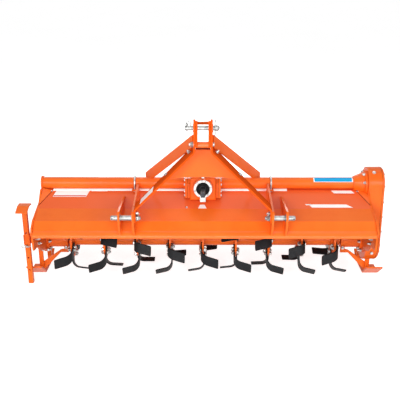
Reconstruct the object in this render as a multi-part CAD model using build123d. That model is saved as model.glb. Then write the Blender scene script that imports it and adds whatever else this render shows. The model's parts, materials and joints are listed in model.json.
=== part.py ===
"""Three-point mounted rotavator (rotary tiller), about 2 m working width, millimetres.

Construction frame: X = 0 in the middle of the hood with +X towards the side gear case,
Y = 0 on the axis of the beam tube with -Y towards the tractor, Z = 0 on the ground.
The finished pieces are moved so that the origin lies at the bottom centre of the whole.
"""
from build123d import *
from math import asin, atan2, cos, degrees, hypot, radians, sin, sqrt
import os

# ------------------------------------------------------------------ driving sizes
RUN_GAP = 0.3            # clearance between curved faces that sit beside each other

CENTRE_X = -10.0         # gearbox, mast and hitch sit this far off the hood's middle

# hood and side plates
HOOD_HALF = 1019.0       # half width of the hood between the side plates
HOOD_T = 4.0             # sheet thickness
PLATE_T = 10.0           # side plate thickness
LIP_Y, LIP_Z = -391.0, 416.0
LIP_H = 16.0             # folded front edge
HOOD_BEND_2 = (-318.0, 497.0)
HOOD_BEND_1 = (-200.0, 530.0)
HOOD_CREST_Y = -36.0
HOOD_REAR_Y = 132.0
HOOD_SLOPE = (250.0, 523.0)
HOOD_TAIL = (340.0, 408.0)
CORNER_X, CORNER_Y = 64.0, 134.0   # cut at the hood's upper corners, across and along
CORNER_LAP = 14.0        # the plate that closes a corner reaches this far under the sheet
CORNER_LET_IN = 1.0      # and this far into it, as its weld does

# beam tube, gearbox and side drive
BEAM_Z = 628.0
BEAM_R = 36.5
BEAM_WALL = 7.0
BOX_HALF = 80.0          # half width of the central gearbox housing
BOX_FRONT, BOX_BACK = -150.0, 70.0
BOX_LOW, BOX_HIGH = 596.0, 714.0
BOX_CHIN = (-118.0, 566.0)   # the housing's front part reaches down to here
FLANGE_T = 15.0          # each of the two flanges that are bolted together
FLANGE_FRONT, FLANGE_BACK = -124.0, 62.0
FLANGE_LOW, FLANGE_HIGH = 572.0, 690.0
FLANGE_CUT = 26.0        # slanted corners
PTO_Z = 649.0
PTO_R = 17.46            # 1 3/8 inch six-spline stub
PTO_LENGTH = 111.0
SEAL_R = 56.0
SEAL_T = 16.0
TAB_HALF, TAB_DROP = 17.0, 28.0   # tab below the seal housing
CONE_LENGTH = 79.0       # from the side plate inwards
CONE_FLANGE_T = 16.0
CONE_R = 84.0
CASE_DEPTH = 74.0        # side case, from the side plate outwards
CASE_TOP_R = 104.0
CASE_LOW_R = 128.0
COVER_T = 16.0

# mast
MAST_IN = 42.0           # half the gap between the two clevis plates
MAST_T = 11.0
TOP_PIN_Y, TOP_PIN_Z = -452.0, 1104.0
TOP_PIN_R = 12.7
MAST_NOSE_R = 28.0
MAST_EAR = 52.0          # the plates rise this far above the pin
MAST_BACK = 70.0         # the clevis reaches this far behind the pin
MAST_CLEVIS = 138.0      # straight stretch, from the pin down to the bend
CHEEK_T = 12.0           # plates that narrow the clevis to the top link's ball
CHEEK_FRONT, CHEEK_BACK, CHEEK_UP = 16.0, 50.0, 40.0     # from the top pin
MAST_MID_Y = (-470.0, -322.0)    # front and back edge at the bend
MAST_LOW_Y = (-430.0, -325.0)    # the same at the foot
LEG_FOOT_Z = 585.0
SPACER_R = 17.0
SPACER_BACK, SPACER_DOWN = 44.0, 107.0       # from the top pin
CROSS_W, CROSS_T, CROSS_UP = 12.0, 16.0, 4.0
SHIELD_Y, SHIELD_T = -385.0, 5.0
SHIELD_STEP = 4.0        # from the bend down to the shield
SHIELD_H, SHIELD_ARCH = 182.0, 18.0
TOP_PIN_LEFT, TOP_PIN_RIGHT = -100.0, 66.0   # the pin's ends
TOP_PIN_HEAD_R = 17.0

# lower hitch
HITCH_Y, HITCH_Z = -402.0, 552.0
HITCH_R = 14.0           # category II, free end, for the tractor's lower link ball
HITCH_BODY_R = 14.5      # inside and between the plates
HITCH_INNER_X = 412.5    # outer face of the inner plate
HITCH_T = 12.0
HITCH_NUT_R, HITCH_NUT_T = 22.0, 20.0
HITCH_OUTER_X = 495.0    # outer face of the outer plate
HITCH_FREE = 43.0        # pin length that stands free of the outer plate

# rear braces
BRACE_W, BRACE_T = 60.0, 10.0
BRACE_DOWN = 52.0        # from the top pin, down and back to where it meets the mast
BRACE_X, BRACE_Y, BRACE_Z = 358.0, 62.0, 679.0
BRACE_FOOT = 46.0        # length that turns down behind the beam tube
CLAMP_W, CLAMP_BAR_R = 12.0, 6.0
CLAMP_OUT = 10.0         # the clamps sit this far outside the inner hitch plates

# rotor
ROTOR_Z = 239.0
TIP_R = 234.0
ROTOR_R = 40.0
RING_R = 112.0
RING_T = 12.0
RING_COUNT = 9
RING_END = 41.0          # middle of the outer rings, from the bearing hubs
RING_SHIFT = -9.0        # all rings, off the hood's middle
BLADE_T = 8.0
BLADE_W = 60.0
BLADE_LEAN = 17.5        # the wing's fold line, from square to the radius, degrees
BLADE_TURN = 82.0        # how far the wing is bent, degrees
BLADE_BEND = 50.0        # outer radius of that bend
BLADE_FLAT = 140.0       # bend and wing, laid flat
BLADE_SWEEP = 0.226      # drift of the wing's edges, for each millimetre across
BLADE_ROOT = 60.0        # where the blade's shank starts, from the rotor axis
HELIX_STEP = 13.6        # turn from one ring to the next, degrees
HELIX_START = -36.5
HAND_LAG = 56.3          # turn from a ring's blades of one hand to those of the other
BLADES_A_SIDE = 3
HUB_LENGTH = 134.0       # bearing hubs, from the side plates inwards
HUB_R = 52.0
HUB_FLANGE = 14.0        # width and thickness of the hub's flange
SHAFT_R = 24.0
CAP_R, CAP_T = 44.0, 18.0

# skids and hub guards
SKID_STEP = 21.0         # from the side plate's outer face to the shoe
SKID_W = 102.0
SKID_T = 10.0
SKID_TOE = (-120.0, 86.0)
SKID_FLAT = (-12.0, 200.0)
SKID_HEEL = (262.0, 44.0)
SKID_WIDE_TO = 96.0      # behind this the shoe is only as wide as its posts
POST_W, POST_T = 28.0, 14.0
POST_FRONT, POST_REAR = -60.0, 160.0
POST_TOP = 220.0         # brackets from the side plate reach the posts below this height
POST_BRACKET = 44.0
GUARD_T = 10.0
GUARD_FLAT = 50.0        # level stretch below the hub
GUARD_DROP = 23.0        # from the hub down to that stretch
GUARD_H = 22.0           # depth of the strap
GUARD_END_LOW, GUARD_END_HIGH = 44.0, 92.0
GUARD_TAB = 28.0         # width of the tab that rises to the hub

# parking leg
PARK_OUT = 87.0          # from the side plate's outer face
PARK_Y = -153.0
PARK_SIDE = 30.0
PARK_TOP = 529.0
PARK_HOLE_R = 6.5
PARK_PITCH = 85.5
PARK_FIRST = 95.0
PARK_HOLES = 4
PARK_PIN_HOLE = 2
PARK_PIN_R = 6.0
SLEEVE_WALL = 6.0
SLEEVE_GAP = 1.0
SLEEVE_H = 66.0
SLEEVE_ARM = 10.0        # plate that carries the sleeve on the side plate
FOOT_LINE = [(-77.0, -21.0), (-22.0, 0.0), (24.0, 0.0), (38.0, -9.0)]
FOOT_T, FOOT_W = 8.0, 72.0

# trailing board and its hanger rods
HINGE_Y, HINGE_Z = 352.0, 392.0
HINGE_R = 7.0
HINGE_BARREL_R = 12.0
BOARD_LENGTH = 326.0
BOARD_LEAN = 28.4        # from vertical, degrees, towards the rear
BOARD_T = 4.0
BOARD_GAP = 11.0         # free at each end, inside the side plates
BOARD_HINGES = (-810.0, -270.0, 270.0, 810.0)
HOOD_HINGES = (-540.0, 0.0, 540.0)
HINGE_HALF = 32.0        # half length of a hinge barrel
HINGE_INSET = 34.0       # middle of the end barrels, from the side plates
ROD_X = 560.0
ROD_R = 8.0
ROD_LUG_DOWN, ROD_LUG_OUT = 150.0, 35.0
GUIDE_Y, GUIDE_Z = 375.0, 465.0
GUIDE_T = 8.0
EYE_R, EYE_W = 15.0, 18.0
EYE_PIN_R = 6.0
SPRING_R, SPRING_L = 18.0, 46.0

# ------------------------------------------------------------------ places across the machine
plate_out = HOOD_HALF + PLATE_T
case_out = plate_out + CASE_DEPTH
cone_start = HOOD_HALF - CONE_LENGTH
hub_end = HOOD_HALF - HUB_LENGTH
ring_pitch = 2 * (hub_end - RING_END) / (RING_COUNT - 1)
ring_places = [RING_SHIFT + (i - (RING_COUNT - 1) / 2) * ring_pitch for i in range(RING_COUNT)]
skid_in = plate_out + SKID_STEP
skid_out = skid_in + SKID_W
board_half = HOOD_HALF - BOARD_GAP
park_x = -(plate_out + PARK_OUT)

parts = {}


# ------------------------------------------------------------------ shape helpers
def across(outline, x0, x1):
    """Prism of an outline in (Y, Z), from x0 to x1."""
    face = make_face(Polyline(*outline, close=True))
    return extrude(Plane.YZ.offset(x0) * face, amount=x1 - x0)


def along(outline, y0, y1):
    """Prism of an outline in (X, Z), from y0 back to y1."""
    face = make_face(Polyline(*outline, close=True))
    return extrude(Plane.XZ.offset(-y0) * face, amount=y0 - y1)


def upward(outline, z0, z1):
    """Prism of an outline in (X, Y), from z0 up to z1."""
    face = make_face(Polyline(*outline, close=True))
    return extrude(Plane.XY.offset(z0) * face, amount=z1 - z0)


def block(x0, x1, y0, y1, z0, z1):
    size = Box(x1 - x0, y1 - y0, z1 - z0)
    return Pos((x0 + x1) / 2, (y0 + y1) / 2, (z0 + z1) / 2) * size


def rod_x(radius, x0, x1, y, z):
    """Round bar along X."""
    return Pos((x0 + x1) / 2, y, z) * Rot(0, 90, 0) * Cylinder(radius, x1 - x0)


def rod_y(radius, y0, y1, x, z):
    """Round bar along Y."""
    return Pos(x, (y0 + y1) / 2, z) * Rot(90, 0, 0) * Cylinder(radius, y1 - y0)


def band(path, thick):
    """Outline of a bent sheet: path is one face, the other lies thick to its left."""
    normals = []
    for (y0, z0), (y1, z1) in zip(path, path[1:]):
        run = hypot(y1 - y0, z1 - z0)
        normals.append(((z0 - z1) / run, (y1 - y0) / run))
    pairs = [(normals[0], normals[0])]
    pairs += list(zip(normals, normals[1:]))
    pairs += [(normals[-1], normals[-1])]
    far = []
    for (y, z), (one, two) in zip(path, pairs):
        scale = thick / (1 + one[0] * two[0] + one[1] * two[1])
        far.append((y + scale * (one[0] + two[0]), z + scale * (one[1] + two[1])))
    return list(path) + far[::-1]


def mirrored(shape):
    return mirror(shape, about=Plane.YZ)


def keep(name, *shapes):
    """File a node: one shape, or several solids that do not touch."""
    parts[name] = shapes


# ------------------------------------------------------------------ hood
crest_z = BEAM_Z - BEAM_R - RUN_GAP
HOOD_LINE = [
    (LIP_Y, LIP_Z),
    (LIP_Y, LIP_Z + LIP_H),
    HOOD_BEND_2,
    HOOD_BEND_1,
    (HOOD_CREST_Y, crest_z),
    (HOOD_REAR_Y, crest_z),
    HOOD_SLOPE,
    HOOD_TAIL,
]


def hood():
    shell = across(band(HOOD_LINE, -HOOD_T), -HOOD_HALF, HOOD_HALF)
    corner = [
        (HOOD_HALF - CORNER_X, HOOD_CREST_Y),
        (HOOD_HALF, HOOD_CREST_Y - CORNER_Y),
        (HOOD_HALF + PLATE_T, HOOD_CREST_Y - CORNER_Y),
        (HOOD_HALF + PLATE_T, HOOD_CREST_Y),
    ]
    cut = upward(corner, HOOD_BEND_1[1] - HOOD_T, crest_z + HOOD_T)
    plate = corner_plate()
    return shell - cut - mirrored(cut) + plate + mirrored(plate)


def corner_plate():
    """Closes a cut corner from below, lapped under the sheet and let into it."""
    underside = band(HOOD_LINE, CORNER_LET_IN - HOOD_T)[len(HOOD_LINE):][::-1]
    sheet = across(band(underside, -HOOD_T), HOOD_HALF - 2 * CORNER_X, HOOD_HALF)
    front = max(HOOD_CREST_Y - CORNER_Y - CORNER_LAP, HOOD_BEND_1[0] + HOOD_T)
    lap = [
        (HOOD_HALF - CORNER_X - CORNER_LAP, HOOD_CREST_Y + CORNER_LAP),
        (HOOD_HALF - CORNER_X - CORNER_LAP, HOOD_CREST_Y),
        (HOOD_HALF - CORNER_LAP, front),
        (HOOD_HALF, front),
        (HOOD_HALF, HOOD_CREST_Y + CORNER_LAP),
    ]
    return sheet & upward(lap, HOOD_BEND_2[1], crest_z)


keep("hood", hood())

# ------------------------------------------------------------------ side plates
HUB_KEEP_R = 68.0        # how far the plate reaches below the rotor axis
PLATE_TOP_R = BEAM_R + 8
PLATE_FRONT = [
    (LIP_Y + 12, LIP_Z),
    (LIP_Y, LIP_Z + LIP_H + 10),
    (-374, 471),
    (-326, 502),
    (-197, 533),
    (-138, 545),
    (-98, 582),
    (-72, 606),
]
PLATE_REAR = [
    (HOOD_REAR_Y + 4, crest_z),
    (HOOD_SLOPE[0] + 2, HOOD_SLOPE[1]),
    (HINGE_Y + 9, HINGE_Z + 14),
    (HINGE_Y, HINGE_Z - 12),
    (300, 330),
    (170, 215),
    (70, ROTOR_Z - HUB_KEEP_R),
    (-50, ROTOR_Z - HUB_KEEP_R),
    (-116, 214),
    (-219, 255),
    (-279, 311),
    (-368, 325),
]


def side_plate(top_radius):
    plate = across(PLATE_FRONT + PLATE_REAR, HOOD_HALF, plate_out)
    plate += rod_x(top_radius, HOOD_HALF, plate_out, 0, BEAM_Z)
    plate += rod_x(HINGE_BARREL_R + 6, HOOD_HALF, plate_out, HINGE_Y, HINGE_Z)
    return plate - rod_x(SHAFT_R + 2, HOOD_HALF, plate_out, 0, ROTOR_Z)


keep("side_plate_right", side_plate(CASE_TOP_R))
keep("side_plate_left", mirrored(side_plate(PLATE_TOP_R)))

# ------------------------------------------------------------------ beam tubes
flange_x = BOX_HALF + FLANGE_T


def beam(x0, x1):
    tube = rod_x(BEAM_R, x0, x1, 0, BEAM_Z)
    return tube - rod_x(BEAM_R - BEAM_WALL, x0, x1, 0, BEAM_Z)


def side_flange(x0, x1):
    """Flange with slanted corners; its foot follows the hood's slope."""
    low_back = BEAM_Z - BEAM_R
    outline = [
        (FLANGE_FRONT, FLANGE_HIGH - FLANGE_CUT),
        (FLANGE_FRONT + FLANGE_CUT, FLANGE_HIGH),
        (FLANGE_BACK - FLANGE_CUT, FLANGE_HIGH),
        (FLANGE_BACK, FLANGE_HIGH - FLANGE_CUT),
        (FLANGE_BACK, low_back),
        (HOOD_CREST_Y - HOOD_T, low_back),
        (FLANGE_FRONT + FLANGE_CUT, FLANGE_LOW),
        (FLANGE_FRONT, FLANGE_LOW),
    ]
    return across(outline, x0, x1)


def box_flange(x0, x1):
    return side_flange(x0, x1) - rod_x(BEAM_R - BEAM_WALL, x0, x1, 0, BEAM_Z)


right_from, right_to = CENTRE_X + flange_x, CENTRE_X + flange_x + FLANGE_T
left_from, left_to = CENTRE_X - flange_x, CENTRE_X - flange_x - FLANGE_T
keep("beam_tube_right", beam(right_to, cone_start) + box_flange(right_from, right_to))
keep("beam_tube_left", beam(-HOOD_HALF, left_to) + box_flange(left_to, left_from))


# ------------------------------------------------------------------ central gearbox
def gearbox():
    outline = [
        (BOX_FRONT, BOX_CHIN[1]),
        BOX_CHIN,
        (HOOD_CREST_Y - HOOD_T, BOX_LOW),
        (BOX_BACK, BOX_LOW),
        (BOX_BACK, BOX_HIGH),
        (BOX_FRONT, BOX_HIGH),
    ]
    body = across(outline, -BOX_HALF, BOX_HALF)
    body = fillet(body.edges().filter_by(Axis.Y).sort_by(Axis.Z)[-2:], 20)
    body = fillet(body.faces().sort_by(Axis.Y)[0].edges(), 10)
    body += side_flange(-flange_x, -BOX_HALF) + side_flange(BOX_HALF, flange_x)
    nose = rod_y(SEAL_R + 6, BOX_FRONT - 10, BOX_FRONT + 10, 0, PTO_Z)
    lid = block(-52, 52, -96, 40, BOX_HIGH, BOX_HIGH + 8)
    bore = rod_y(PTO_R + RUN_GAP, BOX_FRONT - 10, BOX_FRONT + 40, 0, PTO_Z)
    return body + nose + lid - bore


NOSE_Y = BOX_FRONT - 10
SEAL_FRONT = NOSE_Y - SEAL_T


def seal_housing():
    ring = rod_y(SEAL_R, SEAL_FRONT, NOSE_Y, 0, PTO_Z)
    tab_low = PTO_Z - SEAL_R - TAB_DROP
    ring += block(-TAB_HALF, TAB_HALF, SEAL_FRONT, NOSE_Y, tab_low, PTO_Z - SEAL_R + 8)
    return ring - rod_y(SEAL_R - 16, SEAL_FRONT, NOSE_Y, 0, PTO_Z)


def input_shaft():
    stub_front = SEAL_FRONT + 4 - PTO_LENGTH
    shaft = rod_y(PTO_R, stub_front, BOX_FRONT + 30, 0, PTO_Z)
    shaft += rod_y(SEAL_R - 20, SEAL_FRONT + 3, NOSE_Y - 2, 0, PTO_Z)
    groove = block(-4.5, 4.5, stub_front, SEAL_FRONT - 16, PTO_R - 2.6, PTO_R + 5)
    for i in range(6):
        shaft -= Pos(0, 0, PTO_Z) * Rot(0, 60 * i, 0) * groove
    return shaft


centre = Pos(CENTRE_X, 0, 0)
keep("center_gearbox", centre * gearbox())
keep("pto_seal_housing", centre * seal_housing())
keep("input_shaft", centre * input_shaft())


# ------------------------------------------------------------------ cone adapter and side case
def cone_adapter():
    flange_start = HOOD_HALF - CONE_FLANGE_T
    length = flange_start - cone_start
    horn = Pos(cone_start + length / 2, 0, BEAM_Z) * Rot(0, 90, 0)
    body = horn * Cone(BEAM_R + 8, CONE_R - 12, length)
    body += rod_x(CONE_R, flange_start, HOOD_HALF, 0, BEAM_Z)
    body -= block(cone_start, HOOD_HALF, -CONE_R, CONE_R, 0, crest_z + RUN_GAP)
    return body - rod_x(BEAM_R - BEAM_WALL, cone_start, HOOD_HALF, 0, BEAM_Z)


def case_flanks(top_r, low_r):
    """Corners where the two end circles of the side case meet its straight flanks."""
    tilt = asin((low_r - top_r) / (BEAM_Z - ROTOR_Z))
    top = (top_r * cos(tilt), BEAM_Z + top_r * sin(tilt))
    low = (low_r * cos(tilt), ROTOR_Z + low_r * sin(tilt))
    return [top, low, (-low[0], low[1]), (-top[0], top[1])]


def side_case():
    x0, x1 = plate_out, case_out
    case = rod_x(CASE_TOP_R, x0, x1, 0, BEAM_Z) + rod_x(CASE_LOW_R, x0, x1, 0, ROTOR_Z)
    return case + across(case_flanks(CASE_TOP_R, CASE_LOW_R), x0, x1)


keep("cone_adapter", cone_adapter())
keep("side_gear_case", side_case())
cover = rod_x(CASE_TOP_R, case_out, case_out + COVER_T, 0, BEAM_Z)
cover += rod_x(CASE_LOW_R, case_out, case_out + COVER_T, 0, ROTOR_Z)
cover += across(case_flanks(CASE_TOP_R, CASE_LOW_R), case_out, case_out + COVER_T)
keep("gear_case_cover", fillet(cover.faces().sort_by(Axis.X)[-1].edges(), COVER_T - 3))


# ------------------------------------------------------------------ mast
foot_in = HITCH_INNER_X - HITCH_T - MAST_T
clevis_in = MAST_IN - CHEEK_T
mast_back_y = TOP_PIN_Y + MAST_BACK
mast_bend_z = TOP_PIN_Z - MAST_CLEVIS
spacer_y, spacer_z = TOP_PIN_Y + SPACER_BACK, TOP_PIN_Z - SPACER_DOWN


def mast_plate():
    path = [
        (MAST_IN, TOP_PIN_Z + MAST_EAR),
        (MAST_IN, mast_bend_z),
        (foot_in, LEG_FOOT_Z + 20),
        (foot_in, LEG_FOOT_Z - 45),
    ]
    plate = along(band(path, MAST_T), MAST_MID_Y[0] - 20, MAST_MID_Y[1] + 20)
    side = [
        (TOP_PIN_Y - MAST_NOSE_R, TOP_PIN_Z),
        (TOP_PIN_Y - MAST_NOSE_R, TOP_PIN_Z + MAST_EAR - MAST_NOSE_R / 2),
        (TOP_PIN_Y - MAST_NOSE_R / 2, TOP_PIN_Z + MAST_EAR),
        (mast_back_y, TOP_PIN_Z + MAST_EAR),
        (mast_back_y, mast_bend_z + 90),
        (MAST_MID_Y[1], mast_bend_z - 10),
        (MAST_LOW_Y[1], LEG_FOOT_Z - 50),
        (MAST_LOW_Y[0], LEG_FOOT_Z - 50),
        (MAST_LOW_Y[0], LEG_FOOT_Z),
        (MAST_MID_Y[0], mast_bend_z),
    ]
    nose = rod_x(MAST_NOSE_R, 0, HITCH_OUTER_X, TOP_PIN_Y, TOP_PIN_Z)
    plate &= across(side, 0, HITCH_OUTER_X) + nose
    cheek_y = (TOP_PIN_Y - CHEEK_FRONT, TOP_PIN_Y + CHEEK_BACK)
    plate += block(clevis_in, MAST_IN, *cheek_y, mast_bend_z, TOP_PIN_Z + CHEEK_UP)
    plate -= rod_x(SPACER_R + RUN_GAP, clevis_in, MAST_IN, spacer_y, spacer_z)
    plate -= block(clevis_in, MAST_IN, *cheek_y, mast_bend_z, spacer_z)
    plate -= rod_x(TOP_PIN_R + RUN_GAP, clevis_in, MAST_IN + MAST_T, TOP_PIN_Y, TOP_PIN_Z)
    return plate - rod_x(HITCH_BODY_R + RUN_GAP, foot_in, foot_in + MAST_T, HITCH_Y, HITCH_Z)


keep("mast_plate_right", centre * mast_plate())
keep("mast_plate_left", centre * mirrored(mast_plate()))

shield_top = mast_bend_z - SHIELD_STEP
shield_low = shield_top - SHIELD_H


def leg_inner_x(z):
    """Inner face of the splayed leg at a height."""
    slope = (foot_in - MAST_IN) / (mast_bend_z - LEG_FOOT_Z - 20)
    return MAST_IN + slope * (mast_bend_z - z) - RUN_GAP


def mast_shield():
    top, low = leg_inner_x(shield_top), leg_inner_x(shield_low)
    outline = [(-top, shield_top), (top, shield_top), (low, shield_low)]
    outline += [(low * 0.4, shield_low + SHIELD_ARCH), (-low * 0.4, shield_low + SHIELD_ARCH)]
    outline += [(-low, shield_low)]
    shield = along(outline, SHIELD_Y, SHIELD_Y + SHIELD_T)
    inside = MAST_IN - RUN_GAP
    low_end = shield_top - 2 * SHIELD_T
    backing = (SHIELD_Y + SHIELD_T, SHIELD_Y + 2 * SHIELD_T)
    return shield + block(-inside, inside, *backing, low_end, spacer_z)


keep("mast_shield", centre * mast_shield())
cross_y = mast_back_y - CROSS_W
cross_low = TOP_PIN_Z + CROSS_UP
cross = block(-MAST_IN, MAST_IN, cross_y, mast_back_y, cross_low, cross_low + CROSS_T)
keep("mast_cross_plate", centre * cross)
spacer = rod_x(SPACER_R, -MAST_IN, MAST_IN, spacer_y, spacer_z)
keep("mast_spacer", centre * spacer)


def top_pin():
    pin = rod_x(TOP_PIN_R, TOP_PIN_LEFT, TOP_PIN_RIGHT, TOP_PIN_Y, TOP_PIN_Z)
    head_x = TOP_PIN_RIGHT + TOP_PIN_HEAD_R / 2
    return pin + Pos(head_x, TOP_PIN_Y, TOP_PIN_Z) * Sphere(TOP_PIN_HEAD_R)


keep("top_link_pin", centre * top_pin())


# ------------------------------------------------------------------ lower hitch
HITCH_NOSE = 28.0        # the plates stand this far ahead of the pin
HITCH_RISE, HITCH_DROP = 46.0, 34.0


def hitch_plate(x_out, rear):
    outline = [
        (HITCH_Y - HITCH_NOSE, HITCH_Z - HITCH_DROP),
        (HITCH_Y - HITCH_NOSE, HITCH_Z + HITCH_RISE - 12),
        (HITCH_Y - HITCH_NOSE + 14, HITCH_Z + HITCH_RISE),
        *rear,
        HOOD_BEND_1,
        HOOD_BEND_2,
        (LIP_Y + 4, LIP_Z + LIP_H + 4),
        (LIP_Y - 6, LIP_Z + LIP_H + 12),
    ]
    plate = across(outline, x_out - HITCH_T, x_out)
    plate -= across(HOOD_LINE[1:6] + [(HOOD_REAR_Y, ROTOR_Z), (LIP_Y, ROTOR_Z)], x_out - HITCH_T, x_out)
    plate -= rod_x(BEAM_R + RUN_GAP, x_out - HITCH_T, x_out, 0, BEAM_Z)
    return plate - rod_x(HITCH_BODY_R + RUN_GAP, x_out - HITCH_T, x_out, HITCH_Y, HITCH_Z)


INNER_REAR = [(-60, 640), (-20, 640), (-20, crest_z)]
OUTER_REAR = [(-112, 578), (-100, 572), (-100, 560)]


def hitch_pin():
    nut_in = foot_in - HITCH_NUT_T
    pin = rod_x(HITCH_R, nut_in, HITCH_OUTER_X + HITCH_FREE, HITCH_Y, HITCH_Z)
    pin += rod_x(HITCH_BODY_R, nut_in - 2, HITCH_OUTER_X, HITCH_Y, HITCH_Z)
    nut = Plane.YZ.offset(nut_in) * RegularPolygon(HITCH_NUT_R, 6)
    return pin + Pos(0, HITCH_Y, HITCH_Z) * extrude(nut, amount=HITCH_NUT_T)


inner = hitch_plate(HITCH_INNER_X, INNER_REAR)
outer = hitch_plate(HITCH_OUTER_X, OUTER_REAR)
keep("hitch_plates_right", centre * inner, centre * outer)
keep("hitch_plates_left", centre * mirrored(inner), centre * mirrored(outer))
keep("hitch_pin_right", centre * hitch_pin())
keep("hitch_pin_left", centre * mirrored(hitch_pin()))


# ------------------------------------------------------------------ rear braces and clamps
def brace():
    x0, y0, z0 = MAST_IN + MAST_T, TOP_PIN_Y + BRACE_DOWN, TOP_PIN_Z - BRACE_DOWN
    run = hypot(BRACE_X - x0, BRACE_Y - y0)
    slope = (z0 - BRACE_Z) / run
    drop = BRACE_W * sqrt(1 + slope ** 2)
    foot = run - BRACE_FOOT
    outline = [
        (0, z0),
        (run, BRACE_Z),
        (run, BEAM_Z - BEAM_R / 2),
        (foot, BEAM_Z - BEAM_R / 2),
        (foot, BRACE_Z - drop + slope * BRACE_FOOT),
        (0, z0 - drop),
    ]
    go = (BRACE_X - x0, BRACE_Y - y0, 0)
    plane = Plane(origin=(x0, y0, 0), x_dir=go, z_dir=(go[1], -go[0], 0))
    bar = extrude(plane * make_face(Polyline(*outline, close=True)), amount=BRACE_T)
    bar -= block(0, x0, y0 - BRACE_W, y0 + BRACE_W, z0 - 2 * BRACE_W, z0 + BRACE_W)
    return bar - rod_x(BEAM_R + RUN_GAP, 0, HOOD_HALF, 0, BEAM_Z)


keep("brace_right", centre * brace())
keep("brace_left", centre * mirrored(brace()))


def tube_clamp():
    """Pad under a U-bolt over the beam tube, beside the inner hitch plate."""
    x0 = HITCH_INNER_X + CLAMP_OUT
    x1 = x0 + CLAMP_W
    inside = BEAM_R + RUN_GAP
    outside = inside + 2 * CLAMP_BAR_R
    hoop = rod_x(outside, x0, x1, 0, BEAM_Z) - rod_x(inside, x0, x1, 0, BEAM_Z)
    return hoop - block(x0, x1, -outside, outside, 0, crest_z + CLAMP_BAR_R)


keep("tube_clamps", centre * tube_clamp(), centre * mirrored(tube_clamp()))


# ------------------------------------------------------------------ rotor
def rotor_tube():
    tube_end = hub_end - 6
    body = rod_x(ROTOR_R, -tube_end, tube_end, 0, ROTOR_Z)
    body += rod_x(SHAFT_R, -plate_out, plate_out, 0, ROTOR_Z)
    for x in ring_places:
        body += rod_x(RING_R, x - RING_T / 2, x + RING_T / 2, 0, ROTOR_Z)
    return body


keep("rotor_tube", rotor_tube())


def blade():
    """Blade with its wing towards +X and its fold line along Y, over the rotor axis."""
    turn, slant = radians(BLADE_TURN), radians(BLADE_LEAN)
    wing = BLADE_FLAT - BLADE_BEND * turn
    rise = BLADE_BEND * sin(turn) + wing * cos(turn)
    reach = BLADE_BEND * (1 - cos(turn)) + wing * sin(turn)
    half_w = BLADE_W / 2 / cos(slant)
    side = half_w + BLADE_SWEEP * reach + rise * sin(slant) / cos(slant)
    inward = rise * cos(slant) + side * sin(slant)
    fold_r = sqrt(TIP_R ** 2 + inward ** 2 - rise ** 2 - side ** 2) - inward
    fold_z, fold_y = fold_r * cos(slant), -fold_r * sin(slant)
    corner_z = fold_z + BLADE_BEND * sin(turn / 2) / cos(turn / 2)
    inner_z = corner_z - BLADE_T * sin(turn / 2) / cos(turn / 2)
    root_z = BLADE_ROOT * cos(slant)
    tip = (reach, fold_z + rise)
    inner_tip = (reach - BLADE_T * cos(turn), fold_z + rise - BLADE_T * sin(turn))
    back = FilletPolyline((0, root_z), (0, corner_z), tip, radius=BLADE_BEND)
    front = FilletPolyline(
        (BLADE_T, root_z), (BLADE_T, inner_z), inner_tip, radius=BLADE_BEND - BLADE_T
    )
    ends = [Line((0, root_z), (BLADE_T, root_z)), Line(inner_tip, tip)]
    face = Plane.XZ * make_face(Curve() + [back, front, *ends])
    bar = extrude(face, amount=TIP_R, both=True)
    lead = (BLADE_SWEEP, 1, sin(slant) / cos(slant))
    edges = Plane(origin=(0, fold_y, fold_z), x_dir=(1, -BLADE_SWEEP, 0), z_dir=lead)
    across_w = 2 * half_w / Vector(*lead).length
    return bar & edges * Box(4 * TIP_R, 4 * TIP_R, across_w)


def blade_set(side):
    """All blades whose wings point to +X (side 1) or to -X (side -1)."""
    one = blade() if side > 0 else mirrored(blade())
    lag = 0 if side > 0 else HAND_LAG
    blades = []
    for i, x in enumerate(ring_places):
        for k in range(BLADES_A_SIDE):
            turn = HELIX_START + HELIX_STEP * i + lag + 360 / BLADES_A_SIDE * k
            place = Pos(x - side * (RING_T / 2 + BLADE_T), 0, ROTOR_Z)
            blades.append(place * Rot(90 + turn - BLADE_LEAN, 0, 0) * one)
    return blades


keep("blades_right", *blade_set(1))
keep("blades_left", *blade_set(-1))


def bearing_hub():
    hub = rod_x(HUB_R, hub_end, HOOD_HALF, 0, ROTOR_Z)
    hub += rod_x(HUB_R + HUB_FLANGE, HOOD_HALF - HUB_FLANGE, HOOD_HALF, 0, ROTOR_Z)
    return hub - rod_x(SHAFT_R + RUN_GAP, hub_end, HOOD_HALF, 0, ROTOR_Z)


keep("bearing_hub_right", bearing_hub())
keep("bearing_hub_left", mirrored(bearing_hub()))
keep("bearing_cap_left", mirrored(rod_x(CAP_R, plate_out, plate_out + CAP_T, 0, ROTOR_Z)))


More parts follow.
